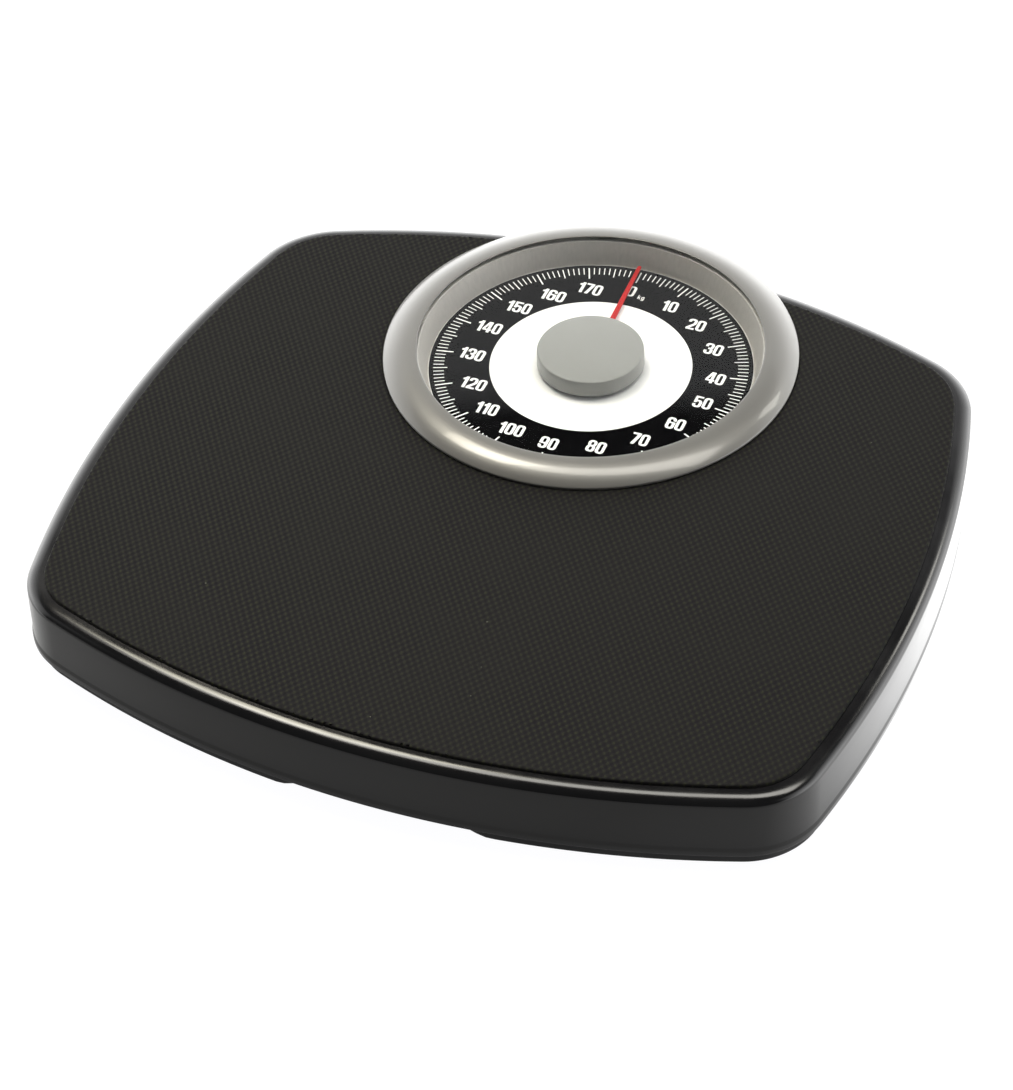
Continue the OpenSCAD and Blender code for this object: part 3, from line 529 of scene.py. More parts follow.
look = Look("cup_grey", (0.42, 0.4, 0.372), 0.42, metallic=0.15)
streaks = look.noise(1.1, 3, look.stretched(1, 1, 0.04))
look.link("Base Color", look.ramp(streaks, [(0.35, (0.4, 0.383, 0.356)), (0.65, (0.44, 0.42, 0.39))]))
look.link("Roughness", look.ramp(streaks, [(0.3, 0.33), (0.7, 0.46)]))
look.link("Normal", look.bump(streaks, 0.02, 0.4))

# Dial card: matt white, with black and white ink
look = Look("dial_print", (0.9, 0.9, 0.895), 0.55)
look.vary_colour(35, (0.88, 0.88, 0.875), (0.92, 0.92, 0.915))
look.grain(0.2, 0.01, 0.3)

look = Look("ink_black", (0.001, 0.001, 0.0013), 0.6, ior=1.4)
look.set("Specular IOR Level", 0.01)
look.vary_colour(12, (0.0008, 0.0008, 0.0011), (0.0012, 0.0012, 0.0015))
look.vary_roughness(6, 0.55, 0.65)
look.grain(2.5, 0.004, 0.1)

look = Look("ink_white", (0.92, 0.92, 0.92), 0.5)
look.vary_colour(4, 0.9, 0.94)
look.grain(0.2, 0.008, 0.3)

look = Look("hub_grey", (0.225, 0.227, 0.216), 0.36)
look.vary_colour(20, (0.218, 0.22, 0.209), (0.232, 0.234, 0.223))
look.vary_roughness(8, 0.33, 0.42)
look.grain(1.5, 0.012, 0.15)

look = Look("needle_red", (0.42, 0.006, 0.005), 0.45)
look.set("Specular IOR Level", 0.12)
look.vary_colour(8, (0.40, 0.005, 0.004), (0.44, 0.007, 0.006))
look.grain(0.4, 0.01, 0.3)

look = Look("wheel_plastic", (0.012, 0.012, 0.012), 0.45)
look.vary_colour(6, 0.009, 0.018)
look.grain(0.4, 0.03, 0.5)

look = Look("guide_plastic", (0.80, 0.79, 0.74), 0.45)
look.vary_colour(6, (0.76, 0.75, 0.70), (0.84, 0.83, 0.78))
look.grain(0.5, 0.02, 0.4)

# Bare metals, each with its own brushing or plating
for slot_name, dark, light, low, high, stretch in (
    ("zinc_steel", (0.50, 0.51, 0.52), (0.66, 0.67, 0.67), 0.28, 0.46, (1, 1, 1)),
    ("pin_steel", (0.60, 0.60, 0.61), (0.70, 0.70, 0.71), 0.14, 0.26, (0.1, 1, 1)),
    ("lever_steel", (0.42, 0.43, 0.44), (0.55, 0.56, 0.57), 0.3, 0.48, (1, 0.12, 1)),
    ("spring_steel", (0.46, 0.46, 0.47), (0.60, 0.60, 0.61), 0.2, 0.34, (1, 1, 1)),
    ("brass", (0.66, 0.49, 0.20), (0.78, 0.60, 0.27), 0.22, 0.38, (1, 1, 1)),
):
    look = Look(slot_name, light, low, metallic=1.0)
    pattern = look.noise(2.5, 5, look.stretched(*stretch))
    look.link("Base Color", look.ramp(pattern, [(0.3, dark), (0.7, light)]))
    look.link("Roughness", look.ramp(pattern, [(0.3, high), (0.7, low)]))
    look.link("Normal", look.bump(pattern, 0.02, 0.4))

# Clear lens: a thin pane that lets the lamps through and mirrors a little
look = Look("lens_clear", (1, 1, 1), 0.02)
look.tree.nodes.remove(look.shader)
mirror = look.node("ShaderNodeBsdfGlossy", {"Color": (1, 1, 1, 1)})
smears = look.noise(14, 4)
look.tree.links.new(look.ramp(smears, [(0.35, 0.015), (0.7, 0.06)]), mirror.inputs["Roughness"])
through = look.node("ShaderNodeBsdfTransparent", {"Color": (0.985, 0.99, 0.99, 1)})
fresnel = look.node("ShaderNodeFresnel", {"IOR": 1.45})
outward = look.math("SUBTRACT", 1.0, look.node("ShaderNodeNewGeometry").outputs["Backfacing"])
share = look.math("MULTIPLY", look.math("MULTIPLY", fresnel.outputs[0], outward), 0.55)
blend = look.node("ShaderNodeMixShader", {0: share, 1: through.outputs[0], 2: mirror.outputs[0]})
output = [n for n in look.tree.nodes if n.type == "OUTPUT_MATERIAL"][0]
look.tree.links.new(blend.outputs[0], output.inputs["Surface"])


# ---- Camera, floor and light ----


def direction(azimuth, elevation):
    """A unit vector; azimuth runs clockwise from +Y seen from above."""
    a, e = math.radians(azimuth), math.radians(elevation)
    return Vector((math.sin(a) * math.cos(e), math.cos(a) * math.cos(e), math.sin(e)))


def make_camera():
    """A camera on the front right, looking down at a point on the mat."""
    azimuth, elevation, roll = (math.radians(v) for v in (23.286, 42.852, -2.355))
    target, distance = Vector((12.46, -50.74, MAT_TOP)) * MM, 1369.55 * MM
    back = Vector((math.sin(azimuth) * math.cos(elevation), -math.cos(azimuth) * math.cos(elevation),
                   math.sin(elevation)))
    level = Vector((math.cos(azimuth), math.sin(azimuth), 0))
    up = back.cross(level)
    right = level * math.cos(roll) + up * math.sin(roll)
    top = up * math.cos(roll) - level * math.sin(roll)
    data = bpy.data.cameras.new("camera")
    data.sensor_fit = "VERTICAL"
    data.sensor_height = 36
    data.lens = 100.83
    camera = bpy.data.objects.new("camera", data)
    turn = Matrix((right, top, back)).transposed().to_4x4()
    camera.matrix_world = Matrix.Translation(target + back * distance) @ turn
    bpy.context.scene.collection.objects.link(camera)
    bpy.context.scene.camera = camera


def make_light(name, azimuth, elevation, distance, width, height, radiance, colour=(1, 1, 1)):
    """A rectangular softbox that faces the scale. Its distance and sizes are in metres."""
    data = bpy.data.lights.new(name, "AREA")
    data.shape = "RECTANGLE"
    data.size, data.size_y = width, height
    data.energy = radiance * math.pi * width * height
    data.color = colour
    light = bpy.data.objects.new(name, data)
    aim = Vector((0, 0, 0.04))
    away = direction(azimuth, elevation)
    light.location = aim + away * distance
    light.rotation_mode = "QUATERNION"
    light.rotation_quaternion = away.to_track_quat("Z", "Y")
    bpy.context.scene.collection.objects.link(light)


def make_world():
    """A bright low backdrop behind the scale and a panel overhead, dark between them and on the near side."""
    world = bpy.data.worlds.new("studio")
    bpy.context.scene.world = world
    world.use_nodes = True
    tree = world.node_tree
    tree.nodes.clear()

    def node(kind, inputs=(), **settings):
        return add_node(tree, kind, inputs, **settings)

    def times(a, b):
        return node("ShaderNodeMath", {0: a, 1: b}, operation="MULTIPLY").outputs[0]

    def sine(elevation):
        return math.sin(math.radians(elevation))

    coords = node("ShaderNodeTexCoord")
    split = node("ShaderNodeSeparateXYZ", {0: coords.outputs["Generated"]})
    rise, towards_back = split.outputs["Z"], split.outputs["Y"]
    backdrop = add_ramp(tree, rise, [(0.0, 1.0), (sine(12), 0.9), (sine(25), 0.6), (sine(36), 0.3),
                                     (sine(40), 0.25), (sine(40.4), 0.01), (1.0, 0.01)])
    facing = node("ShaderNodeMapRange", {"Value": towards_back, "From Min": -0.45, "From Max": 0.05})
    near = (0.02, 0.02, 0.02, 1)
    shades = node("ShaderNodeMix", {0: facing.outputs[0], 6: near, 7: backdrop}, data_type="RGBA")
    low = node("ShaderNodeBackground", {"Color": shades.outputs[2], "Strength": 4.5})
    lengthwise = add_ramp(tree, towards_back, [(0.06, 0.0), (0.1, 1.0), (0.34, 1.0), (0.4, 0.0)])
    overhead = times(add_ramp(tree, rise, [(sine(56), 0.0), (sine(60), 1.0)]), lengthwise)
    high = node("ShaderNodeBackground", {"Color": (1, 0.97, 0.9, 1), "Strength": times(overhead, 8.5)})
    lit = node("ShaderNodeAddShader", {0: low.outputs[0], 1: high.outputs[0]})
    plain = node("ShaderNodeBackground", {"Color": (1, 1, 1, 1), "Strength": 1.0})
    seen = node("ShaderNodeLightPath").outputs["Is Camera Ray"]
    both = node("ShaderNodeMixShader", {0: seen, 1: lit.outputs[0], 2: plain.outputs[0]})
    node("ShaderNodeOutputWorld", {"Surface": both.outputs[0]})


def make_floor():
    """A plain pale floor that glows, so shadows on it stay faint. Reflections of it are darker in front."""
    half = 12.0
    mesh = bpy.data.meshes.new("floor")
    corners = [(-half, -half, 0), (half, -half, 0), (half, half, 0), (-half, half, 0)]
    mesh.from_pydata(corners, [], [(0, 1, 2, 3)])
    floor = bpy.data.objects.new("floor", mesh)
    bpy.context.scene.collection.objects.link(floor)
    look = Look("floor_white", (0.1, 0.1, 0.1), 0.9)
    look.vary_colour(400, 0.098, 0.102)
    look.set("Specular IOR Level", 0.0)
    split = look.node("ShaderNodeSeparateXYZ", {0: look.place})
    side = look.math("MULTIPLY", look.math("ABSOLUTE", split.outputs["X"]), 0.6)
    back = look.math("ADD", side, split.outputs["Y"])
    share = look.node("ShaderNodeMapRange", {"Value": back, "From Min": -0.25, "From Max": 0.25}).outputs[0]
    glow = look.ramp(share, [(0.22, 0.11), (0.38, 0.15), (0.5, 0.32), (0.66, 0.75), (0.85, 1.0)])
    seen = look.node("ShaderNodeLightPath").outputs["Is Camera Ray"]
    look.link("Emission Color", look.mix(seen, glow, (0.325, 0.325, 0.33)))
    look.set("Emission Strength", 3.0)
    mesh.materials.append(look.material)


make_camera()
make_world()
make_floor()
make_light("left_softbox", -60, 62, 1.3, 0.44, 0.40, 13, (1.0, 0.94, 0.78))
make_light("right_softbox", 34, 38, 1.6, 0.22, 0.30, 8, (1.0, 0.98, 0.9))
bpy.context.scene.view_settings.view_transform = "Standard"


# ---- Platform cover ----

BORDER_W, ROLL_W, ROLL_H = 1.7, 6.5, 4.0
# The cover's section as (offset from the outline, height): over the roll, down the skirt and back up inside
roll = [(BORDER_W + ROLL_W * math.sin(a), PANEL_TOP - ROLL_H * (1 - math.cos(a)))
        for a in np.radians(np.linspace(0, 90, 22))]
edge_profile = np.concatenate([
    roll,
    rounded([(8.4, 30, 0), (8.6, 20, 0), (8.75, 13.2, 2.0), (9.3, 11.3, 0.9), (9.3, LIP_Z, 0.5),
             (8.1, LIP_Z, 0.4), (7.5, 12.5, 3), (7.3, 20, 0), (7.1, 30, 0), (6.9, 35, 2), (6.2, 37.2, 1),
             (4.6, 38.9, 1.5), (BORDER_W, PANEL_UNDER, 0)], 5),
])
shell = Shell()
plan = outline(edge_profile[0][0])
count = len(plan)
opening = DIAL + PANEL_HOLE_R * (plan - DIAL) / np.linalg.norm(plan - DIAL, axis=1)[:, None]
starts = [shell.ring(opening, PANEL_TOP)]
starts += [shell.ring(outline(off), z) for off, z in edge_profile]
starts.append(shell.ring(opening, PANEL_UNDER))
shell.rings(starts, count, closed=True)
piece("platform_cover_shell", shell.verts(), shell.faces, "cover_black", "platform", ["platform_cover"], 35)


# ---- Mat ----

HOLE_R, MAT_PRESS_R, MAT_PRESS = 90.0, 100.2, 0.4
EMBOSS, EDGE_STEP = 0.2, 1.2


def hollow(x, y):
    """The embossed weave, from 0 on its raised squares to 1 between them."""
    wave = np.cos(math.pi * x / WEAVE_X) * np.cos(math.pi * y / WEAVE_Y)
    return 0.5 - 0.5 * np.sign(wave) * np.abs(wave) ** 0.8


def press(x, y):
    """How far the bezel presses the mat down."""
    return MAT_PRESS * (np.hypot(x - DIAL[0], y - DIAL[1]) < MAT_PRESS_R)


def mat_height(x, y):
    return MAT_TOP - press(x, y) - EMBOSS * hollow(x, y)


shell = Shell()
# The rounded edge as (offset, drop, depth of the notches that the weave leaves in it)
edge_steps = [(-0.6, 0.1, 0), (-0.35, 0.18, 0.25), (-0.1, 0.42, 0.35), (-0.02, 0.8, 0.2),
              (-0.02, MAT_T, 0)]
plans = [mat_outline(off, HOLE_R) for off, _, _ in edge_steps]
loops = [finer(plan, plans[0], EDGE_STEP) for plan in plans]
starts = []
for loop, (_, drop, notch) in zip(loops, edge_steps):
    fall = np.maximum(drop + notch * hollow(*loop.T), press(*loop.T) + 0.1)
    starts.append(shell.ring(loop, MAT_TOP - fall))
shell.rings(starts, len(loops[0]))
grid_limit = mat_outline(edge_steps[0][0] - 0.5, HOLE_R)
field(shell, [(loops[0], starts[0], grid_limit)], WEAVE_X / 2, WEAVE_Y / 2, mat_height)
fill(shell, [(loops[-1], starts[-1])])
piece("mat_embossed", shell.verts(), shell.faces, "mat_vinyl", "platform", ["mat"], 60)


# ---- Dial window: bezel, lens, cup and card ----

BEZEL_R, WINDOW_R, BEZEL_BASE = 100, 83.4, MAT_TOP + 0.45
BEZEL_EDGE, BEZEL_RISE, BEZEL_T = 0.6, 4.9, 0.9
LIP_W, LIP_H = 0.40, 0.45


def bezel_face(t):
    """The bezel's convex face, from its outer edge at 0 to its inner lip at 1."""
    return (BEZEL_R - (BEZEL_R - WINDOW_R) * t, BEZEL_BASE + BEZEL_EDGE + BEZEL_RISE * (1 - (1 - t) ** 2.5))


outside = [bezel_face(t) for t in np.linspace(0.004, 0.975, 34)]
under = [(r, z - BEZEL_T) for r, z in outside[::-3]]
bezel_profile = [(BEZEL_R - 0.12, BEZEL_BASE), (BEZEL_R, BEZEL_BASE + 0.12), (BEZEL_R, BEZEL_BASE + 0.4)]
bezel_profile += outside
top_r, top_z = outside[-1]
bezel_profile += [(top_r - LIP_W * math.sin(a), top_z - LIP_H + LIP_H * math.cos(a))
                  for a in np.radians(range(20, 181, 20))]
bezel_profile += under + [(BEZEL_R - 1, BEZEL_BASE)]
piece("bezel_ring", *revolve(bezel_profile, 256, DIAL), "bezel_silver", "platform", ["bezel"], 50)

LENS_Z, LENS_T, LENS_R, LENS_BEVEL = 45.4, 1.4, 86.5, 0.15
# Solids of revolution that close at the middle stop this far from their axis
PINHOLE = 0.02
lens_profile = [(PINHOLE, LENS_Z), (LENS_R - LENS_BEVEL, LENS_Z), (LENS_R, LENS_Z + LENS_BEVEL),
                (LENS_R, LENS_Z + LENS_T - LENS_BEVEL), (LENS_R - LENS_BEVEL, LENS_Z + LENS_T),
                (PINHOLE, LENS_Z + LENS_T)]
piece("lens_pane", *revolve(lens_profile, 192, DIAL), "lens_clear", "platform", ["lens"], 30)

CARD_UNDER, CUP_UNDER = 33.0, 32.0
cup_profile = closed_rounded([
    (12, CUP_UNDER, 0.3), (80.8, CUP_UNDER, 0.8), (82.9, PANEL_TOP, 0.3), (87.3, PANEL_TOP, 0.2),
    (87.3, PANEL_TOP + 1, 0.3), (84, PANEL_TOP + 1, 0.4), (84.3, LENS_Z - 1, 0.3), (87, LENS_Z - 1, 0.2),
    (87, LENS_Z, 0.2), (82.9, LENS_Z, 0.45), (79.4, DIAL_Z, 0.2), (79.2, CARD_UNDER, 0),
    (12, CARD_UNDER, 0.3)])
piece("dial_cup_wall", *revolve(cup_profile, 256, DIAL), "cup_grey", "platform", ["dial_cup"], 40)

CARD_R, CARD_BORE = 78.6, 14
card_profile = closed_rounded([(CARD_BORE, CARD_UNDER, 0), (CARD_R, CARD_UNDER, 0), (CARD_R, DIAL_Z, 0.08),
                               (CARD_BORE, DIAL_Z, 0.08)], 2)
piece("dial_card", *revolve(card_profile, 256, DIAL), "dial_print", "platform", ["dial_plate"], 30)

INK, RING_IN, RING_OUT = 0.03, 49.0, 78.4
ring_profile = [(RING_IN, DIAL_Z), (RING_OUT, DIAL_Z), (RING_OUT, DIAL_Z + INK), (RING_IN, DIAL_Z + INK)]
piece("dial_ring_ink", *revolve(ring_profile, 256, DIAL), "dial_print", "platform", (), 30,
      MATERIALS["ink_black"])


# ---- Printed numbers and marks ----


def rounded_box(x0, y0, x1, y1, r):
    r = min(r, (x1 - x0) / 2 - 1e-4, (y1 - y0) / 2 - 1e-4)
    return closed_rounded([(x0, y0, r), (x1, y0, r), (x1, y1, r), (x0, y1, r)], 6)


def box(x0, y0, x1, y1):
    return np.array([(x0, y0), (x1, y0), (x1, y1), (x0, y1)])


def poly(*points):
    return np.array(points)


def turned_over(shape):
    """A figure's shape turned half a turn about the figure's middle."""
    return np.array([(W - x, 1 - y) for x, y in shape])


# A figure is one high. W is its width, V and H are its upright and level strokes, and R and Q are the radii
# of its outer and inner corners. It is a union of groups, and a group is its first shapes less its second.
W, V, H, R, Q = 0.52, 0.175, 0.14, 0.21, 0.075
LOW_EYE = rounded_box(V, H, W - V, 0.5 - H / 2 + 0.02, Q)
HIGH_EYE = rounded_box(V, 0.5 + H / 2 + 0.01, W - V, 1 - H, Q)
LOW_BOWL = rounded_box(0, 0, W, 0.56, R)
HIGH_BOWL = rounded_box(0, 0.46, W, 1, R)
ZERO_SHAPE, ZERO_EYE = rounded_box(0, 0, W, 1, R), rounded_box(V, H, W - V, 1 - H, Q)
SIX_CUTS = [rounded_box(V, H, W - V, 0.50, Q), rounded_box(V, 0.62, W - V, 1 - H, Q),
            box(V + 0.05, 0.60, W + 1, 0.70)]
FLAG = poly((0.0, 0.70), (0.2, 0.70), (0.2, 1), (0.17, 1), (0.13, 0.90), (0.07, 0.845), (0.0, 0.825))
TWO_STROKE = poly((W - V, 0.67), (W, 0.67), (W - 0.005, 0.58), (W - 0.04, 0.49), (0.21, H - 0.001),
                  (0, H - 0.001), (0.01, 0.18), (W - V - 0.03, 0.55), (W - V - 0.005, 0.61))
FOUR_STROKE = poly((0, 0.19), (0, 0.36), (0.21, 1), (0.46, 1), (0.46, 0.19))
SEVEN_STROKE = poly((0.31, 0.9), (0.49, 0.9), (0.49, 0.82), (0.29, 0), (0.09, 0))
FIGURES = {
    "0": (W, [([ZERO_SHAPE], [ZERO_EYE])]),
    "1": (0.36, [([box(0.15, 0, 0.15 + V + 0.01, 1), FLAG], [])]),
    "2": (W, [([rounded_box(0, 0.40, W, 1, R)],
               [rounded_box(V, 0.45, W - V, 1 - H, Q), box(-1, -1, 2, 0.66), box(-1, 0.5, V, 0.70)]),
              ([TWO_STROKE], []), ([box(0, 0, W - 0.01, H)], [])]),
    "3": (W, [([LOW_BOWL, HIGH_BOWL],
               [LOW_EYE, HIGH_EYE, box(-1, 0.33, V, 0.68), box(-1, 0.4, V + 0.03, 0.6)])]),
    "4": (0.54, [([FOUR_STROKE, box(0.285, 0, 0.46, 0.3), box(0.4, 0.19, 0.54, 0.325)],
                  [poly((0.135, 0.325), (0.285, 0.325), (0.285, 0.78))])]),
    "5": (W, [([rounded_box(0, 0, W, 0.66, R)], [rounded_box(V, H, W - V, 0.53, Q), box(-1, 0.30, V, 0.8)]),
              ([box(0.02, 0.42, V, 1), box(0.02, 1 - H, W - 0.03, 1)], [])]),
    "6": (W, [([ZERO_SHAPE], SIX_CUTS)]),
    "7": (0.49, [([box(0, 1 - H - 0.01, 0.49, 1), SEVEN_STROKE], [])]),
    "8": (W, [([LOW_BOWL, rounded_box(0.01, 0.46, W - 0.01, 1, R)], [LOW_EYE, HIGH_EYE])]),
    "9": (W, [([turned_over(ZERO_SHAPE)], [turned_over(cut) for cut in SIX_CUTS])]),
    "k": (0.50, [([box(0, 0, 0.14, 1), poly((0.1, 0.22), (0.1, 0.42), (0.33, 0.7), (0.49, 0.7)),
                   poly((0.15, 0.33), (0.27, 0.47), (0.5, 0), (0.34, 0))], [])]),
    "g": (0.50, [([rounded_box(0, 0.0, 0.48, 0.7, 0.2)], [rounded_box(0.14, 0.13, 0.34, 0.57, 0.09)]),
                 ([box(0.34, -0.1, 0.48, 0.7), rounded_box(0.0, -0.26, 0.48, 0.12, 0.14)],
                  [rounded_box(-0.1, -0.14, 0.34, 0.4, 0.05)])]),
}


def figure_triangles(groups):
    """Plan points and triangles of a figure."""
    points, faces, owner = [], [], []
    for g, (solid, cut) in enumerate(groups):
        for shapes, sign in ((solid, 1), (cut, -1)):
            for shape in shapes:
                x, y = np.asarray(shape).T
                if np.sum(x * np.roll(y, -1) - y * np.roll(x, -1)) < 0:
                    shape = shape[::-1]
                faces.append(list(range(len(points), len(points) + len(shape))))
                points += [Vector(p) for p in shape]
                owner.append((g, sign))
    verts, _, triangles, _, _, origin = delaunay_2d_cdt(points, [], faces, 0, 1e-5)
    kept = []
    for triangle, sources in zip(triangles, origin):
        tags = {owner[s] for s in sources}
        if any((g, 1) in tags and (g, -1) not in tags for g in range(len(groups))):
            kept.append(list(triangle))
    used = sorted({v for t in kept for v in t})
    number = {v: i for i, v in enumerate(used)}
    return np.array([verts[v][:] for v in used]), [[number[v] for v in t] for t in kept]


shapes = {key: (width, *figure_triangles(groups)) for key, (width, groups) in FIGURES.items()}
shell = Shell()
INK_LOW, INK_HIGH = DIAL_Z + INK, DIAL_Z + 2 * INK


def print_text(text, centre, height, gap):
    """Upright text in white ink, centred on a point."""
    width = sum(shapes[c][0] for c in text) * height + gap * (len(text) - 1)
    x = centre[0] - width / 2
    for c in text:
        w, plan_points, triangles = shapes[c]
        prism(shell, plan_points * height + [x, centre[1] - height / 2], triangles, INK_LOW, INK_HIGH)
        x += w * height + gap


NUMBER_H, NUMBER_GAP = 8.2, 0.42
UNIT_H, UNIT_GAP, UNIT_SPOT = 3.1, 0.35, (5.2, 57.4)
# Middle of each number, across and up from the dial's centre
NUMBERS = {
    0: (-1, 60.5), 10: (21, 55.5), 20: (38, 46), 30: (52, 31), 40: (60, 10.5), 50: (60, -8.5),
    60: (53, -27.5), 70: (41, -43.5), 80: (23.5, -55.5), 90: (1.5, -60.5), 100: (-18.5, -57),
    110: (-35, -47), 120: (-48, -32), 130: (-57, -11.5), 140: (-57, 10.5), 150: (-49, 30),
    160: (-36.5, 44.5), 170: (-21, 55.5),
}
for kg, spot in NUMBERS.items():
    print_text(str(kg), DIAL + spot, NUMBER_H, NUMBER_GAP)
print_text("kg", DIAL + UNIT_SPOT, UNIT_H, UNIT_GAP)

# Inner radius and half width of the marks for tens, fives and single kilograms
TEN_MARK, FIVE_MARK, ONE_MARK = (67.6, 0.36), (69.3, 0.28), (71.0, 0.26)
MARK_OUT, PRINT_TURN, FULL_LOAD = 76.1, 1.1, 180
for kg in range(FULL_LOAD):
    a = math.radians(kg * 360 / FULL_LOAD - PRINT_TURN)
    mark_in, half_w = TEN_MARK if kg % 10 == 0 else FIVE_MARK if kg % 5 == 0 else ONE_MARK
    u, v = np.array([math.sin(a), math.cos(a)]), np.array([math.cos(a), -math.sin(a)])
    inner, outer = DIAL + u * mark_in, DIAL + u * MARK_OUT
    corners = [inner - v * half_w, outer - v * half_w, outer + v * half_w, inner + v * half_w]
    prism(shell, corners, [(0, 1, 2), (0, 2, 3)], INK_LOW, INK_HIGH)
piece("dial_figures", shell.verts(), shell.faces, "dial_print", "platform", (), 30, MATERIALS["ink_white"])


# ---- Pointer ----

HUB_R, HUB_TOP, HUB_UNDER = 26.0, 43.8, 35.5
NEEDLE_Z, NEEDLE_T, NEEDLE_LEN, NEEDLE_REST = 36.2, 0.6, 77.5, 2
BOSS_UNDER, HUB_CEILING, SHAFT_HOLE_R, SHAFT_HOLE_TOP = 36.9, 42.3, 1.4, 42.4
hub_profile = closed_rounded([
    (4.9, BOSS_UNDER, 0.2), (5, HUB_CEILING, 0.4), (24.4, HUB_CEILING, 0.6), (24.5, HUB_UNDER, 0.3),
    (HUB_R, HUB_UNDER, 0.35), (HUB_R - 0.25, HUB_TOP, 0.75), (PINHOLE, HUB_TOP, 0),
    (PINHOLE, SHAFT_HOLE_TOP, 0), (SHAFT_HOLE_R, SHAFT_HOLE_TOP, 0), (SHAFT_HOLE_R, BOSS_UNDER, 0)], 6)
verts, faces = revolve(hub_profile, 240, DIAL)
# The drum's wall is notched over the needle
NOTCH_HALF, NOTCH_GAP = 1.9, 0.25
notch = (np.abs(verts[:, 0]) < NOTCH_HALF) & (verts[:, 1] > DIAL[1] + 20) & (verts[:, 2] < 37)
verts[notch, 2] += NEEDLE_Z + NEEDLE_T + NOTCH_GAP - HUB_UNDER
verts[:, :2] = turned(verts[:, :2], NEEDLE_REST)
piece("hub_drum", verts, faces, "hub_grey", "pointer", ["pointer_hub"], 35)

TIP_R, EYE_R, EYE_BORE_R = 1.0, 7.5, 1.3
tip_a = np.radians(np.linspace(0, 180, 13))
tip = np.stack([np.cos(tip_a) * TIP_R, NEEDLE_LEN - TIP_R + np.sin(tip_a) * TIP_R], 1)
eye_a = np.radians(np.linspace(102, 438, 40))
needle_loop = np.concatenate([tip, np.stack([np.cos(eye_a) * EYE_R, np.sin(eye_a) * EYE_R], 1)])
shell = Shell()
rings = []
for inset, z in ((0.0, NEEDLE_Z), (0.0, NEEDLE_Z + NEEDLE_T - 0.15), (0.12, NEEDLE_Z + NEEDLE_T)):
    smaller = needle_loop - inset * np.sign(needle_loop) * (np.abs(needle_loop) > 0.05)
    loop = turned(smaller + DIAL, NEEDLE_REST)
    rings.append((loop, shell.ring(loop, z)))
bore = arc(DIAL, EYE_BORE_R, 0, 360, 24)
bore_rings = [shell.ring(bore, z) for z in (NEEDLE_Z, NEEDLE_Z + NEEDLE_T)]
shell.rings([start for _, start in rings], len(needle_loop))
shell.rings(bore_rings, len(bore))
fill(shell, [rings[0], (bore, bore_rings[0])])
fill(shell, [rings[-1], (bore, bore_rings[1])])
piece("needle_blade", shell.verts(), shell.faces, "needle_red", "pointer", ["pointer_needle"], 40)


# ---- Base pan ----

LOBE_GAP_X, LOBE_GAP_HALF, LOBE_FRONT_Y = 7, 31.5, -95
LOBE_BACK_X, LOBE_BACK_Y, LOBE_SLOPE = 95, 55, 18
BEAD_HALF, BEAD_H, BEAD_END = 5, 0.8, 95


def slope(s):
    """Height of the underside s millimetres inside a lobe's inner edge."""
    t = np.clip(s / LOBE_SLOPE, 0, 1)
    return FOOT_T + (FLOOR_UNDER - FOOT_T) * (1 - t * t * (3 - 2 * t))


def bead(distance):
    """A pressed stiffening bead, by distance from its middle line."""
    t = np.clip(1 - np.abs(distance) / BEAD_HALF, 0, 1)
    return BEAD_H * t * t * (3 - 2 * t)


def run(x, y, x0, y0, x1, y1):
    """Distance from points to the straight line between two ends."""
    d = np.array([x1 - x0, y1 - y0], float)
    t = np.clip(((x - x0) * d[0] + (y - y0) * d[1]) / (d @ d), 0, 1)
    return np.hypot(x - x0 - t * d[0], y - y0 - t * d[1])


def underside(x, y):
    """Height of the pan's underside: four low lobes under a raised floor with three beads."""
    front = np.maximum(slope(np.abs(x - LOBE_GAP_X) - LOBE_GAP_HALF), slope(LOBE_FRONT_Y - y))
    x = np.abs(x)
    back = np.maximum(slope(x - LOBE_BACK_X), slope(y - LOBE_BACK_Y))
    beads = bead(run(x, y, 0, -62, BEAD_END, -62)) + bead(run(x, y, 0, -82, BEAD_END, -82))
    beads += bead(run(x, y, BEAD_END, -40, BEAD_END, 40))
    return np.minimum(front, back) + beads


def wheel_slot(half_x, half_y):
    """The slot under the zero wheel."""
    return rounded_box(WHEEL[0] - half_x, WHEEL[1] - half_y, WHEEL[0] + half_x, WHEEL[1] + half_y, 1.5)


SLOT, SLOT_CLEAR = wheel_slot(11, 6), wheel_slot(12, 7)
shell = Shell()
# The wall's section as (offset, height, lift above the underside where no height is given)
steps = [(BASE_OFF - 1.4, None, 0.0), (BASE_OFF - 0.85, None, 0.12), (BASE_OFF - 0.41, None, 0.41),
         (BASE_OFF - 0.1, None, 0.9), (BASE_OFF, None, 1.5), (BASE_OFF, WALL_TOP - 0.25, 0),
         (BASE_OFF - 0.25, WALL_TOP, 0), (BASE_OFF - 0.95, WALL_TOP, 0),
         (BASE_OFF - 1.2, WALL_TOP - 0.25, 0), (BASE_OFF - 1.2, None, FLOOR_T + 1.2),
         (BASE_OFF - 1.6, None, FLOOR_T + 0.4), (BASE_OFF - 2.4, None, FLOOR_T)]
starts = []
for off, z, lift in steps:
    plan = outline(off)
    starts.append(shell.ring(plan, underside(plan[:, 0], plan[:, 1]) + lift if z is None else z))
shell.rings(starts, count)
slot_low = shell.ring(SLOT, underside(SLOT[:, 0], SLOT[:, 1]))
slot_high = shell.ring(SLOT, underside(SLOT[:, 0], SLOT[:, 1]) + FLOOR_T)
shell.join(slot_low, slot_high, len(SLOT))
GRID = 2.5
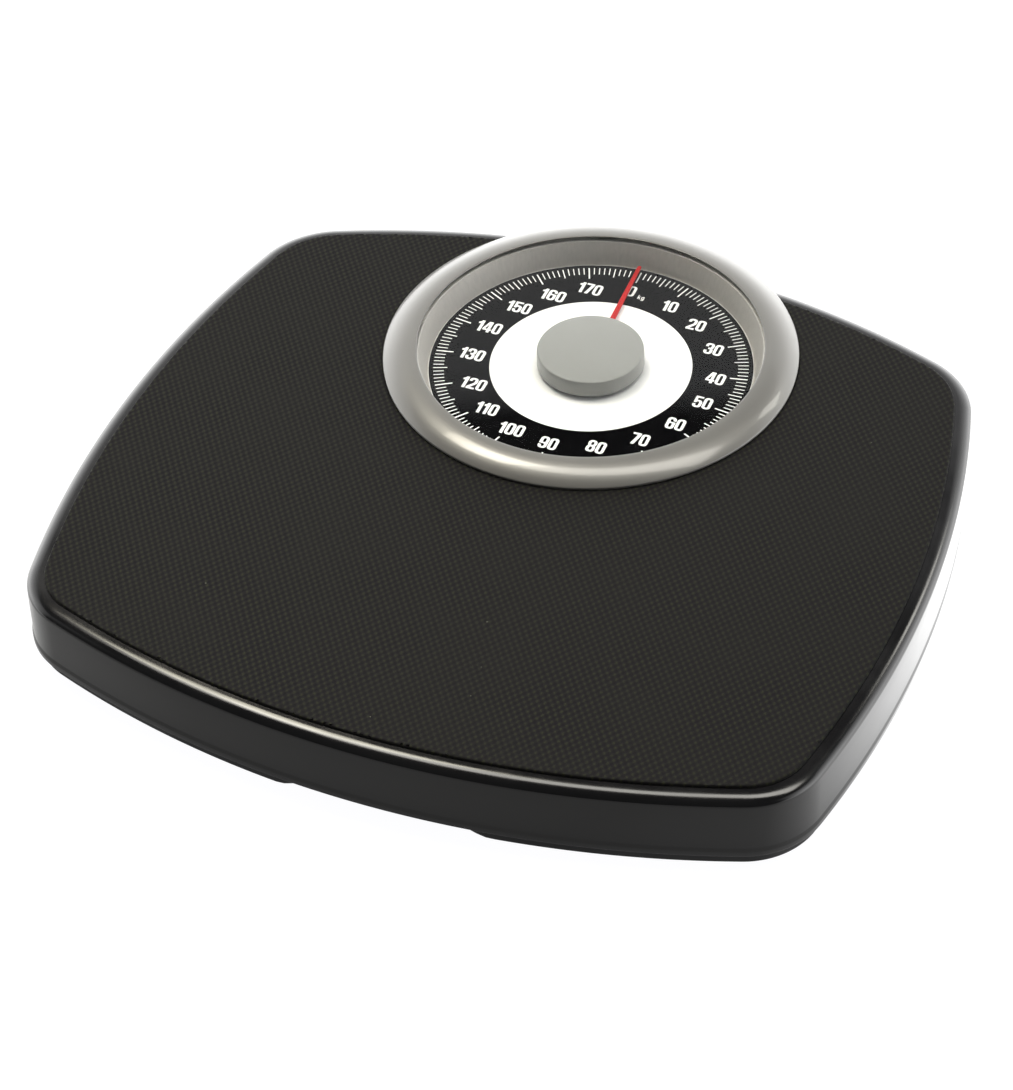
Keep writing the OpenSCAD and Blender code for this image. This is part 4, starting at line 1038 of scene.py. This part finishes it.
for end, slot_start, lift in ((0, slot_low, 0), (-1, slot_high, FLOOR_T)):
    off = steps[end][0]
    field(shell, [(outline(off), starts[end], outline(off - 1)), (SLOT, slot_start, SLOT_CLEAR)],
          GRID, GRID, lambda x, y: underside(x, y) + lift)
piece("base_shell", shell.verts(), shell.faces, "base_black", "base", ["base_pan"], 40)

# A ribbed disc with a button that holds it in the lobe's floor
FOOT_R, BUTTON_Z, BUTTON_TOP = 14, 2.7, 4.1
foot_profile = closed_rounded([
    (PINHOLE, 0.3, 0), (3.2, 0.3, 0.15), (3.6, 0.0, 0.15), (6.2, 0.0, 0.15), (6.6, 0.5, 0.15),
    (7.6, 0.5, 0.15), (8.0, 0.0, 0.15), (10.4, 0.0, 0.15), (10.8, 0.5, 0.15), (11.6, 0.5, 0.15),
    (12, 0.0, 0.15), (FOOT_R, 0.0, 0.45), (FOOT_R - 0.1, FOOT_T, 0.2), (3, FOOT_T, 0), (3, BUTTON_Z, 0),
    (4.2, BUTTON_Z, 0.2), (4.0, BUTTON_TOP, 0.5), (PINHOLE, BUTTON_TOP, 0)], 3)
for name, spot in FOOT_SPOTS.items():
    piece(name + "_pad", *revolve(foot_profile, 72, spot), "foot_rubber", "base", [name], 35)


# ---- Springs ----


def smoothed(path, passes):
    """The path with each point drawn towards its neighbours."""
    path = np.array(path, float)
    for _ in range(passes):
        path[1:-1] = (path[:-2] + 2 * path[1:-1] + path[2:]) / 4
    return path


def helix(radius, z0, z1, turns, start, per_turn=20):
    """Points (across, along, up) of a coil about the upright axis."""
    a = np.linspace(0, turns * 2 * math.pi, int(turns * per_turn) + 1)
    z = z0 + (z1 - z0) * a / a[-1]
    a = a + math.radians(start)
    return np.stack([radius * np.cos(a), radius * np.sin(a), z], 1)


def hook(z, radius, a0, a1):
    """An upright hook, as an arc across the spring's axis."""
    a = np.radians(np.linspace(a0, a1, 26))
    return np.stack([np.zeros(26), radius * np.cos(a), z + radius * np.sin(a)], 1)


def main_spring(x):
    """A coil with a hook at each end, from the bridge down to the calibrating plate."""
    path = np.concatenate([hook(33.5, 2.5, -45, 215), helix(3.35, 30.6, 24.2, 4.5, -90),
                           hook(21.7, 2.2, 35, -225)])
    return tube(smoothed(path, 2) + [x, PLATE_Y, 0], MAIN_WIRE_R)


MAIN_WIRE_R, RETAINER_WIRE_R, RACK_WIRE_R = 0.75, 0.7, 0.33
MAIN_X = 15
for side, x in (("left", -MAIN_X), ("right", MAIN_X)):
    obj = piece(f"main_spring_coil_{side}", *main_spring(x), "spring_steel", None, [f"main_spring_{side}"])
    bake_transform(obj)

RETAINER_R = 3.3
closed_low = helix(RETAINER_R, 9.95, 10.6, 1.5, 0)
open_turns = helix(RETAINER_R, 10.9, 37.8, 8, 180)
closed_high = helix(RETAINER_R, 38.1, 38.75, 1.5, 180)
retainer = smoothed(np.concatenate([closed_low, open_turns, closed_high]), 1)
shell = Shell()
for x, y in RETAINER_SPOTS:
    verts, faces = tube(retainer + [x, y, 0], RETAINER_WIRE_R)
    base = shell.add(verts)
    shell.faces += [[base + i for i in face] for face in faces]
obj = piece("retainer_coils", shell.verts(), shell.faces, "spring_steel", None, ["retainer_springs"])
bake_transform(obj)

# The rack's spring lies along Y, with an eye at each end
AXIS_X, AXIS_Z = -4.8, 16.15
coil = helix(1.8, 104, 132, 38, 0, 14)[:, [0, 2, 1]]
eye_a = np.radians(np.linspace(-160, 90, 14))
near_eye = np.stack([np.zeros(14), 102.6 + 1.4 * np.cos(eye_a), 1.4 * np.sin(eye_a)], 1)
far_a = np.radians(np.linspace(90, 340, 14))
far_y = 133.6 + 5.6 * (far_a - far_a[0]) / (far_a[-1] - far_a[0])
far_eye = np.stack([np.zeros(14), far_y, 1.3 * np.sin(far_a)], 1)
path = smoothed(np.concatenate([near_eye, coil, far_eye]), 2) + [AXIS_X, 0, AXIS_Z]
obj = piece("rack_spring_coil", *tube(path, RACK_WIRE_R, 8), "spring_steel", None, ["rack_spring"])
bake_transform(obj)


# ---- CAD nodes that stay, with their materials ----

NODE_SLOTS = {
    "zinc_steel": ["bracket_front_left", "bracket_front_right", "bracket_back_left", "bracket_back_right",
                   "bracket_rivets", "spring_bridge", "bridge_screws", "crank_bracket", "mechanism_plate",
                   "mechanism_pillars", "pillar_screws", "rack_spring_post", "zero_bearing", "zero_rod",
                   "nose_rivets", "bezel_clips", "post_front_left", "post_front_right", "post_back_left",
                   "post_back_right"],
    "pin_steel": ["crank_pivot_pin", "front_fulcrum_pins", "front_load_pins", "short_lever_left_pins",
                  "short_lever_right_pins", "crank_pins", "pointer_shaft"],
    "lever_steel": ["long_lever_left_arm", "long_lever_right_arm", "short_lever_left", "short_lever_right",
                    "nose_plate", "calibrating_plate"],
    "brass": ["upper_bush", "lower_bush", "bell_crank", "rack", "pinion", "zero_block"],
    "guide_plastic": ["rack_guide_front", "rack_guide_rear"],
    "wheel_plastic": ["zero_wheel"],
}
for slot_name, names in NODE_SLOTS.items():
    for name in names:
        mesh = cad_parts[name].data
        for i in range(len(mesh.materials)):
            mesh.materials[i] = MATERIALS[slot_name]
        if not mesh.materials:
            mesh.materials.append(MATERIALS[slot_name])
